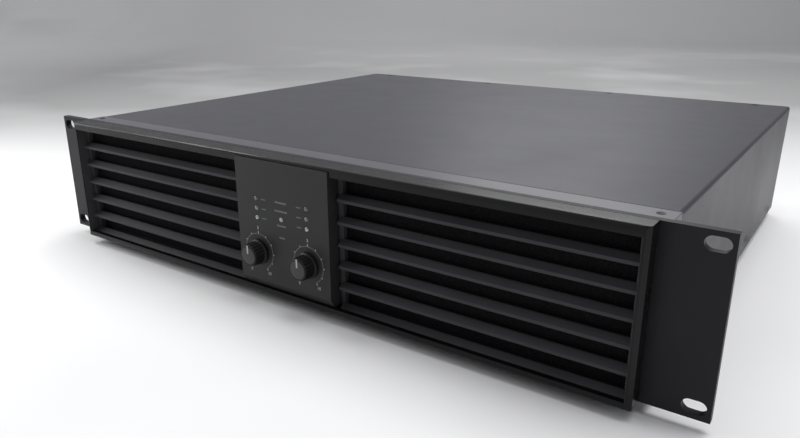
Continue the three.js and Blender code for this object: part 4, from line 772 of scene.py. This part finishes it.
slot_of = {row["node"]: row["material_slot"] for row in frame["record"]["subparts"]}
# The front frame wears the lighter copy of the cover paint, painted light on the front strip
finish_of = {
    "louvre_left": "louvre_plastic", "louvre_right": "louvre_plastic", "front_frame": "lit_frame_paint"}
bevel_of = {
    "rack_panel": PANEL_BEVEL,
    "front_bezel": MOULDING_BEVEL,
    "louvre_left": MOULDING_BEVEL,
    "louvre_right": MOULDING_BEVEL,
    "control_panel": MOULDING_BEVEL,
    "front_frame": SHEET_BEVEL,
    "top_cover": SHEET_BEVEL,
    "base_tray": SHEET_BEVEL,
    "rear_panel": SHEET_BEVEL,
}
remade = ("gain_knob", "foot_", "fan_guard", "fan_rotor", "terminal_cap", "capacitor_")
for node in sorted(frame["nodes"]):
    if not node.startswith(remade):
        finish = finish_of.get(node, slot_of[node])
        dress(node, finish, bevel_of.get(node, SMALL_BEVEL), slot_of[node])

panel_bottom = ends("rack_panel")[LOW].z
module_face = ends("control_panel")[LOW].y
rear_face = ends("rear_panel")[HIGH].y


def on_module(x, height):
    return facing((x, module_face, panel_bottom + height), FRONT)


# Pale linings on the outer side of each opening in the bezel: painted light where light falls on these walls
def opening_linings():
    front = ends("front_bezel")[LOW].y + MOULDING_BEVEL
    heights = [panel_bottom + height for height in OPENING_HEIGHTS]
    bm = bmesh.new()
    for node, end, inward in (("louvre_left", LOW, RIGHT), ("louvre_right", HIGH, LEFT)):
        across = sorted(inward.x * y for y in (front, ends(node)[HIGH].y))
        place = Vector((ends(node)[end].x, 0, 0)) + inward * LINING_INSET
        plate(bm, across, heights, facing(place, inward), LINING_THICKNESS)
    new_piece("opening_linings", mesh_from("opening_linings", bm), "louvre_plastic",
              "chassis", slot_of["louvre_left"])


opening_linings()


# Gain knobs: fluted grip with a skirt, paler face and a white pointer line
def gain_knob(channel):
    node = "gain_knob_" + channel
    low, high = ends(node)
    centre = middle(node)
    placing = facing((centre.x, high.y, centre.z), FRONT)
    outer = (high.x - low.x) / 2
    tip = high.y - low.y - INK_RISE * 2
    skirt = KNOB_SKIRT_HEIGHT
    edge = KNOB_EDGE
    flute = KNOB_FLUTE_DEPTH
    profile = [
        (0, tip - KNOB_ROOF), (KNOB_BORE, tip - KNOB_ROOF), (KNOB_BORE, 0), (outer - edge / 2, 0),
        (outer, edge / 2), (outer, skirt - edge / 2), (outer - edge / 2, skirt),
        (KNOB_WAIST, skirt + edge / 2), (KNOB_WAIST, skirt + edge, flute),
        (KNOB_SHOULDER, tip - 2 * edge, flute), (KNOB_SHOULDER - edge / 3, tip - edge, flute / 2),
        (KNOB_SHOULDER - edge, tip - edge / 4), (KNOB_SHOULDER - 1.6 * edge, tip),
        (KNOB_FACE_RADIUS, tip), (KNOB_FACE_RADIUS, tip - KNOB_DISH), (0, tip - KNOB_DISH),
    ]
    bm = bmesh.new()
    lathe(bm, profile, placing, KNOB_FLUTES * FLUTE_STEPS, KNOB_FLUTES)
    new_piece("knob_grip_" + channel, mesh_from("knob_grip", bm, FLUTED_ANGLE), "knob_plastic",
              body_of(node), "knob_plastic", node)
    bm = bmesh.new()
    seat = tip - KNOB_DISH + INK_RISE / 2
    rim = KNOB_FACE_RADIUS - INK_RISE
    crown = KNOB_FACE_RADIUS * KNOB_CROWN_SHARE
    lathe(bm, [(0, seat), (rim, seat), (rim, tip - edge / 4), (crown, tip), (0, tip)], placing)
    new_piece("knob_face_" + channel, mesh_from("knob_face", bm), "knob_face",
              body_of(node), "module_plastic")
    bm = bmesh.new()
    half = POINTER_WIDTH / 2
    raised = placing @ Matrix.Translation((0, 0, tip + INK_RISE / 2))
    plate(bm, (-half, half), (POINTER_START, POINTER_END), raised)
    new_piece("knob_pointer_" + channel, mesh_from("knob_pointer", bm), "white_ink",
              body_of(node), "clear_plastic")


for channel in ("a", "b"):
    gain_knob(channel)


# Printed dial round each knob: an arc, ticks and plain numbers
def module_print():
    bright = bmesh.new()
    dim = bmesh.new()
    for node in nodes_named("gain_knob"):
        centre = middle(node)
        placing = on_module(centre.x, centre.z - panel_bottom)
        arc_band(dim, DIAL_RADIUS, DIAL_RADIUS + DIAL_LINE, -DIAL_SWEEP, DIAL_SWEEP, placing)
        for step in range(DIAL_STEPS + 1):
            angle = math.radians(-DIAL_SWEEP + 2 * DIAL_SWEEP * step / DIAL_STEPS)
            turned = placing @ Matrix.Rotation(-angle, 4, "Z")
            start = DIAL_RADIUS + DIAL_LINE * DIAL_TICK_START_SHARE
            numbered = step % (DIAL_STEPS // 2) == 0
            reach = DIAL_TICK if numbered else DIAL_TICK * DIAL_SHORT_TICK_SHARE
            plate(bright, (-DIAL_LINE / 2, DIAL_LINE / 2), (start, start + reach), turned)
            if numbered:
                spot = (DIAL_NUMBER_RADIUS * math.sin(angle), DIAL_NUMBER_RADIUS * math.cos(angle), 0)
                number(bright, str(step), DIAL_NUMBER_SIZE, placing @ Matrix.Translation(spot))
    for half, height in CENTRE_DASHES:
        plate(dim, (-half, half), (-DASH_HEIGHT / 2, DASH_HEIGHT / 2), on_module(0, height))
    for side in (-1, 1):
        for height in LED_HEIGHTS.values():
            reach = sorted(side * (CHANNEL_X - share) for share in SIDE_DASH_REACH)
            plate(dim, reach, (-DASH_HEIGHT / 3, DASH_HEIGHT / 3), on_module(0, height))
    new_piece("module_marks", mesh_from("module_marks", bright), "white_ink", "chassis", "clear_plastic")
    new_piece("module_lines", mesh_from("module_lines", dim), "grey_ink", "chassis", "clear_plastic")


module_print()


# Indicator lenses: low domes over the light pipes and one for power between them
def indicator_lens(name, finish, x, height):
    profile = [(0, 0), (LED_RADIUS, 0)]
    for step in range(1, LED_LAYERS + 1):
        angle = step / LED_LAYERS * math.pi / 2
        profile.append((LED_RADIUS * math.cos(angle), LED_RISE * math.sin(angle)))
    bm = bmesh.new()
    lathe(bm, profile, on_module(x, height), LED_STEPS)
    new_piece(name, mesh_from(name, bm), finish, "chassis", "clear_plastic")


for channel, x in (("a", -CHANNEL_X), ("b", CHANNEL_X)):
    for kind, height in LED_HEIGHTS.items():
        indicator_lens(kind + "_light_" + channel, kind + "_lens", x, height)
indicator_lens("power_light", "signal_lens", 0, POWER_LED_HEIGHT)


# Feet: tapered rubber discs with a screw and washer in the recess
def foot(node):
    low, high = ends(node)
    centre = middle(node)
    tall = high.z - low.z
    placing = facing((centre.x, centre.y, low.z), UP, BACK)
    edge = FOOT_EDGE
    profile = [
        (0, FOOT_RECESS_DEPTH), (FOOT_RECESS, FOOT_RECESS_DEPTH), (FOOT_RECESS, edge / 2),
        (FOOT_RECESS + edge / 2, 0), (FOOT_WALL_TREAD - edge, 0), (FOOT_WALL_TREAD - edge / 4, edge / 4),
        (FOOT_WALL_TREAD, edge), (FOOT_WALL_TOP, tall - edge), (FOOT_WALL_TOP - edge / 4, tall - edge / 4),
        (FOOT_WALL_TOP - edge, tall), (0, tall),
    ]
    bm = bmesh.new()
    lathe(bm, profile, placing)
    new_piece("rubber_" + node, mesh_from(node, bm), "foot_rubber", body_of(node), "foot_rubber", node)
    bm = bmesh.new()
    recess = Vector((centre.x, centre.y, low.z + FOOT_RECESS_DEPTH))
    washer = [(0, 0), (WASHER_RADIUS, 0), (WASHER_RADIUS, WASHER_RISE), (0, WASHER_RISE)]
    lathe(bm, washer, facing(recess, DOWN, BACK), SMALL_ROUND_STEPS)
    cross_screw(bm, recess + DOWN * WASHER_RISE, DOWN, SMALL_SCREW_RADIUS, SMALL_SCREW_RISE)
    new_piece("screw_" + node, mesh_from("foot_screw", bm), "zinc_steel", "chassis", "zinc_steel")


for node in nodes_named("foot_"):
    foot(node)


# Flat screws that hold the case together
def case_screws():
    low, high = ends("top_cover")
    tray_bottom = ends("base_tray")[LOW].z
    bm = bmesh.new()
    for share in COVER_SCREW_SHARES:
        for side, out in ((low.x, LEFT), (high.x, RIGHT)):
            place = Vector((side, low.y + share * (high.y - low.y), tray_bottom + COVER_SCREW_HEIGHT))
            cross_screw(bm, place, out, SCREW_RADIUS, FLAT_SCREW_RISE, FLAT_HEAD, share * SIDE_SPIN)
    for share in COVER_END_SHARES:
        place = Vector((low.x + share * (high.x - low.x), high.y - COVER_END_INSET, high.z))
        cross_screw(bm, place, UP, SCREW_RADIUS, FLAT_SCREW_RISE, FLAT_HEAD, share * END_SPIN)
    low, high = ends("front_frame")
    for x in (low.x + FRAME_SCREW_INSET, high.x - FRAME_SCREW_INSET):
        place = Vector((x, (low.y + high.y) / 2, high.z))
        cross_screw(bm, place, UP, SMALL_SCREW_RADIUS, FLAT_SCREW_RISE, FLAT_HEAD, x * FRAME_SPIN)
    new_piece("case_screws", mesh_from("case_screws", bm), "socket_metal", "chassis", "socket_metal")


case_screws()


# Pan heads round the rear panel, on the plates of its fittings and in the eyes of the fan guard
def rear_screws():
    bm = bmesh.new()
    low, high = ends("rear_panel")
    for x in (low.x + FRAME_SCREW_INSET, high.x - FRAME_SCREW_INSET):
        for z in (low.z + FRAME_SCREW_INSET, high.z - FRAME_SCREW_INSET):
            cross_screw(bm, (x, rear_face, z), BACK, turn=x * REAR_SPIN[0] + z * REAR_SPIN[1])
    for node, (rise, corners) in PLATE_SCREWS.items():
        low, high = ends(node)
        centre = middle(node)
        for side, end in corners:
            x = centre.x + side * ((high.x - low.x) / 2 - PLATE_SCREW_INSET)
            z = centre.z + end * ((high.z - low.z) / 2 - PLATE_SCREW_INSET)
            cross_screw(bm, (x, rear_face + rise, z), BACK, SMALL_SCREW_RADIUS, SMALL_SCREW_RISE,
                        turn=x * PLATE_SPIN[0] + z * PLATE_SPIN[1])
    low, high = ends("fan_guard")
    centre = middle("fan_guard")
    reach = (high.x - low.x) / 2 - EYE_INSET
    for side in (-1, 1):
        for end in (-1, 1):
            place = (centre.x + side * reach, rear_face + EYE_RISE, centre.z + end * reach)
            cross_screw(bm, place, BACK, turn=side * FAN_SPIN[0] + end * FAN_SPIN[1])
    new_piece("rear_screws", mesh_from("rear_screws", bm), "socket_metal", "chassis", "socket_metal")


rear_screws()


# Bare metal: pins of the mains inlet, contacts of the input sockets and sleeves in the terminals
def contacts():
    nickel = bmesh.new()
    gilt = bmesh.new()
    inlet = middle("mains_inlet")
    wide, tall = INLET_PIN_HALF
    base, tip = INLET_PIN_ENDS
    for x, z in INLET_PINS:
        placing = facing((inlet.x + x, rear_face + base, inlet.z + z), BACK)
        plate(nickel, (-wide, wide), (-tall, tall), placing, tip - base)
    inner, outer = CONTACT_RADII
    base, tip = CONTACT_ENDS
    for node in nodes_named("input_socket"):
        centre = middle(node)
        for angle in CONTACT_ANGLES:
            x = centre.x + CONTACT_CIRCLE * math.cos(math.radians(angle))
            z = centre.z + CONTACT_CIRCLE * math.sin(math.radians(angle))
            tube = [(inner, base), (outer, base), (outer, tip), (inner, tip), (inner, base)]
            lathe(gilt, tube, facing((x, rear_face, z), BACK), CONTACT_STEPS)
    bore, sleeve, rim = STUD_RADII
    base, seat, tip = STUD_ENDS
    for node in nodes_named("terminal_cap"):
        centre = middle(node)
        profile = [(bore, base), (sleeve, base), (sleeve, seat), (rim, seat), (rim, tip), (bore, tip),
                   (bore, base)]
        lathe(nickel, profile, facing((centre.x, rear_face, centre.z), BACK), SMALL_ROUND_STEPS)
    for name, bm, finish in (("nickel_contacts", nickel, "latch_nickel"), ("gilt_contacts", gilt, "brass")):
        bmesh.ops.remove_doubles(bm, verts=bm.verts, dist=WELD)
        new_piece(name, mesh_from(name, bm), finish, "chassis", "latch_nickel")


contacts()


# Wire guard: four rings welded to two crossed wires that end in eyes
def fan_guard():
    low, high = ends("fan_guard")
    centre = middle("fan_guard")
    bm = bmesh.new()
    ring_place = facing((centre.x, high.y - GUARD_WIRE, centre.z), BACK)
    for radius in GUARD_RING_RADII:
        tube_loop(bm, radius, GUARD_WIRE, ring_place, GUARD_RING_STEPS)
    crossing = Vector((centre.x, low.y + GUARD_WIRE, centre.z))
    reach = ((high.x - low.x) / 2 - EYE_INSET) * math.sqrt(2)
    for angle in GUARD_ROD_ANGLES:
        turn = math.radians(angle)
        eye = crossing + Vector((math.cos(turn), 0, math.sin(turn))) * reach
        tube_loop(bm, GUARD_EYE, GUARD_WIRE, facing(eye, BACK), GUARD_EYE_STEPS)
        along = (eye - crossing).normalized()
        length = (eye - crossing).length - GUARD_EYE
        rod = [(0, 0), (GUARD_WIRE, 0), (GUARD_WIRE, length), (0, length)]
        lathe(bm, rod, facing(crossing, along, BACK), GUARD_ROD_SIDES)
    new_piece("wire_guard", mesh_from("wire_guard", bm), "zinc_steel", "chassis", "zinc_steel", "fan_guard")


fan_guard()


# Fan rotor: a rounded hub with curved blades
def blade_row(bm, blade, out, deep):
    """The ring of points round a blade at one share of the way from its root to its tip."""
    radius = BLADE_ROOT + (BLADE_TIP - BLADE_ROOT) * out
    lead = BLADE_SWEEP * out * out
    wide = BLADE_SPREAD * (1 - BLADE_TAPER * out)
    front_side = []
    back_side = []
    for chord in range(BLADE_CHORDS + 1):
        share = chord / BLADE_CHORDS
        angle = step_angle(blade, BLADES) + lead + wide * (share - 0.5)
        camber = BLADE_CAMBER * math.sin(math.pi * share)
        rise = BLADE_MARGIN + (deep - 2 * BLADE_MARGIN) * min(1, share + camber)
        swell = math.sin(math.pi * (BLADE_EDGE_INSET + (1 - 2 * BLADE_EDGE_INSET) * share))
        half = BLADE_THICKNESS / 2 * (BLADE_EDGE_SHARE + (1 - BLADE_EDGE_SHARE) * swell)
        front_side.append(bm.verts.new(polar(radius, angle, rise - half)))
        back_side.append(bm.verts.new(polar(radius, angle, rise + half)))
    return front_side + back_side[::-1]


def fan_rotor():
    low, high = ends("fan_rotor")
    centre = middle("fan_rotor")
    deep = high.y - low.y
    placing = facing((centre.x, low.y, centre.z), BACK)
    bm = bmesh.new()
    hub = [
        (0, HUB_WALL), (HUB_RADIUS - HUB_WALL, HUB_WALL), (HUB_RADIUS - HUB_WALL, 0), (HUB_RADIUS, 0),
        (HUB_RADIUS, deep - HUB_EDGE), (HUB_RADIUS - HUB_EDGE / 3, deep - HUB_EDGE / 3),
        (HUB_RADIUS - HUB_EDGE, deep), (0, deep),
    ]
    lathe(bm, hub, placing)
    for blade in range(BLADES):
        start = len(bm.verts)
        rows = [blade_row(bm, blade, span / BLADE_SPANS, deep) for span in range(BLADE_SPANS + 1)]
        join_rings(bm, rows)
        bm.faces.new(rows[0])
        bm.faces.new(rows[-1])
        bmesh.ops.transform(bm, matrix=placing, verts=since(bm, start))
    new_piece("bladed_rotor", mesh_from("bladed_rotor", bm), "black_plastic",
              body_of("fan_rotor"), "black_plastic", "fan_rotor")


fan_rotor()


# Smoothing capacitors: sleeved cans with a crimped groove and a scored top
def capacitor(node):
    low, high = ends(node)
    centre = middle(node)
    outer = (high.x - low.x) / 2
    tall = high.z - low.z
    placing = facing((centre.x, centre.y, low.z), UP, BACK)
    edge = CAN_EDGE
    groove = tall - CAN_GROOVE_DROP
    rim = outer - 3 * edge
    top = tall - edge / 3
    profile = [
        (0, 0), (outer - edge, 0), (outer, edge), (outer, groove - 2 * edge),
        (outer - edge / 3, groove - edge), (outer - edge, groove), (outer - edge / 3, groove + edge),
        (outer, groove + 2 * edge), (outer, tall - edge), (outer - edge / 3, top), (outer - edge, tall),
        (rim, tall), (rim - edge / 3, top), (0, top),
    ]
    bm = bmesh.new()
    lathe(bm, profile, placing)
    new_piece("sleeved_" + node, mesh_from(node, bm), "capacitor_sleeve",
              body_of(node), slot_of[node], node)
    bm = bmesh.new()
    for angle in VENT_ANGLES:
        turned = (placing @ Matrix.Translation((0, 0, top + MARK_SEAT))
                  @ Matrix.Rotation(math.radians(angle), 4, "Z"))
        plate(bm, (-VENT_HALF_WIDTH, VENT_HALF_WIDTH), (-outer / 2, outer / 2), turned, edge / 6)
    new_piece("vent_" + node, mesh_from("vent", bm), "heatsink_aluminium",
              body_of(node), "heatsink_aluminium")


for node in nodes_named("capacitor_"):
    capacitor(node)


# Screw caps of the loudspeaker terminals
def terminal_cap(node):
    low, high = ends(node)
    centre = middle(node)
    outer = (high.x - low.x) / 2
    long = high.y - low.y
    placing = facing((centre.x, low.y, centre.z), BACK)
    flute = CAP_FLUTE_DEPTH
    lip = CAP_LIP
    profile = [
        (CAP_BORE, 0), (outer - lip, 0), (outer - lip / 4, lip / 2), (outer, lip), (outer, 1.6 * lip),
        (outer, 2 * lip, flute), (outer, long - 2 * lip, flute), (outer - lip / 5, long - lip, flute / 2),
        (outer - lip, long - lip / 5), (outer - 1.5 * lip, long), (CAP_BORE, long), (CAP_BORE, 0),
    ]
    bm = bmesh.new()
    lathe(bm, profile, placing, CAP_FLUTES * FLUTE_STEPS, CAP_FLUTES)
    bmesh.ops.remove_doubles(bm, verts=bm.verts, dist=WELD)
    new_piece("fluted_" + node, mesh_from(node, bm, FLUTED_ANGLE), slot_of[node],
              body_of(node), slot_of[node], node)


for node in nodes_named("terminal_cap"):
    terminal_cap(node)


# Marks on the power rocker: a bar on the half that switches on, a ring on the other
def rocker_marks():
    mesh = frame["nodes"]["power_rocker"].data
    centre = middle("power_rocker")
    wide, tall = ROCKER_BAR
    inner, outer = ROCKER_RING
    bm = bmesh.new()
    for end in (1, -1):
        spots = [polygon for polygon in mesh.polygons
                 if polygon.normal.y > ROCKER_FACING and (polygon.center.z - centre.z) * end > 0]
        area = sum(polygon.area for polygon in spots)
        out = Vector()
        place = Vector()
        for polygon in spots:
            out += polygon.normal * polygon.area / area
            place += polygon.center * polygon.area / area
        placing = facing(place + out.normalized() * MARK_SEAT, out)
        if end > 0:
            plate(bm, (-wide, wide), (-tall, tall), placing)
        else:
            arc_band(bm, inner, outer, 0, ROCKER_RING_SWEEP, placing)
    new_piece("rocker_marks", mesh_from("rocker_marks", bm), "white_ink",
              body_of("power_rocker"), "clear_plastic")


rocker_marks()


# Camera, floor, wall and light
def camera():
    data = bpy.data.cameras.new("camera")
    data.lens = CAMERA_LENS
    data.sensor_width = CAMERA_SENSOR
    data.sensor_fit = "HORIZONTAL"
    data.clip_start = CAMERA_NEAREST
    viewer = bpy.data.objects.new("camera", data)
    show(viewer)
    azimuth = math.radians(CAMERA_AZIMUTH)
    elevation = math.radians(CAMERA_ELEVATION)
    look = Vector((
        -math.sin(azimuth) * math.cos(elevation),
        math.cos(azimuth) * math.cos(elevation),
        -math.sin(elevation),
    ))
    turn = look.to_track_quat("-Z", "Y").to_matrix().to_4x4()
    roll = Matrix.Rotation(math.radians(CAMERA_ROLL), 4, "Z")
    viewer.matrix_world = Matrix.Translation(CAMERA_PLACE) @ turn @ roll
    bpy.context.scene.camera = viewer


def studio_sweep():
    shader = Shader("studio_sweep", grey(FLOOR_TONE), roughness=0.9, specular=0.05)
    parts = shader.nodes.new("ShaderNodeSeparateXYZ")
    shader.links.new(shader.place, parts.inputs["Vector"])
    # Painted shade behind the object, a paler wall, and painted light on the left
    shader.mix_colour(parts.outputs["Y"], grey(SHADE_FADE_TONE), SHADE_FADE_START, SHADE_FADE_END)
    shader.mix_colour(parts.outputs["Y"], grey(PALE_TONE), PALE_START, PALE_END)
    shader.mix_colour(parts.outputs["X"], grey(LEFT_LIGHT_TONE), LEFT_LIGHT_START, LEFT_LIGHT_END)
    shader.mix_colour(shader.noise(scale=3), grey(CLOUD_TONE), start=0.5, end=1.0)
    outline = [(-FLOOR_REACH, 0.0), (WALL_DISTANCE, 0.0)]
    for step in range(1, BEND_STEPS + 1):
        angle = step / BEND_STEPS * math.pi / 2
        outline.append((
            WALL_DISTANCE + WALL_RADIUS * math.sin(angle), WALL_RADIUS - WALL_RADIUS * math.cos(angle)))
    outline.append((WALL_DISTANCE + WALL_RADIUS, WALL_HEIGHT))
    bm = bmesh.new()
    left, right = [[bm.verts.new((x, y, z)) for y, z in outline]
                   for x in (-STAGE_HALF_WIDTH, STAGE_HALF_WIDTH)]
    for i in range(len(outline) - 1):
        bm.faces.new((left[i], right[i], right[i + 1], left[i + 1]))
    sweep = bpy.data.objects.new("studio_sweep", mesh_from("studio_sweep", bm, SWEEP_ANGLE))
    sweep.rotation_euler.z = math.radians(CAMERA_AZIMUTH)
    show(sweep)
    sweep.data.materials.append(shader.material)


def area_light(name, place, target, width, height, power):
    data = bpy.data.lights.new(name, "AREA")
    data.shape = "RECTANGLE"
    data.size = width
    data.size_y = height
    data.energy = power
    lamp = bpy.data.objects.new(name, data)
    show(lamp)
    lamp.location = place
    lamp.visible_camera = False
    lamp.rotation_euler = (Vector(target) - Vector(place)).to_track_quat("-Z", "Y").to_euler()


def world_light():
    """Even light from all round, and a paler room where it is seen, also in metal and glass."""
    world = bpy.data.worlds.new("studio")
    bpy.context.scene.world = world
    world.use_nodes = True
    nodes, links = world.node_tree.nodes, world.node_tree.links
    lit = nodes["Background"]
    room = nodes.new("ShaderNodeBackground")
    for background, level in ((lit, ROOM_LIGHT), (room, ROOM_SEEN)):
        background.inputs["Color"].default_value = ROOM_COLOUR
        background.inputs["Strength"].default_value = level
    rays = nodes.new("ShaderNodeLightPath").outputs
    share = rays["Is Camera Ray"]
    for kind in ("Is Glossy Ray", "Is Transmission Ray"):
        either = nodes.new("ShaderNodeMath")
        either.operation = "MAXIMUM"
        links.new(share, either.inputs[0])
        links.new(rays[kind], either.inputs[1])
        share = either.outputs["Value"]
    mix = nodes.new("ShaderNodeMixShader")
    links.new(share, mix.inputs["Fac"])
    links.new(lit.outputs["Background"], mix.inputs[1])
    links.new(room.outputs["Background"], mix.inputs[2])
    links.new(mix.outputs["Shader"], nodes["World Output"].inputs["Surface"])


camera()
studio_sweep()
world_light()
for name, lamp in LAMPS.items():
    area_light(name, *lamp)
bpy.context.scene.view_settings.view_transform = "Standard"
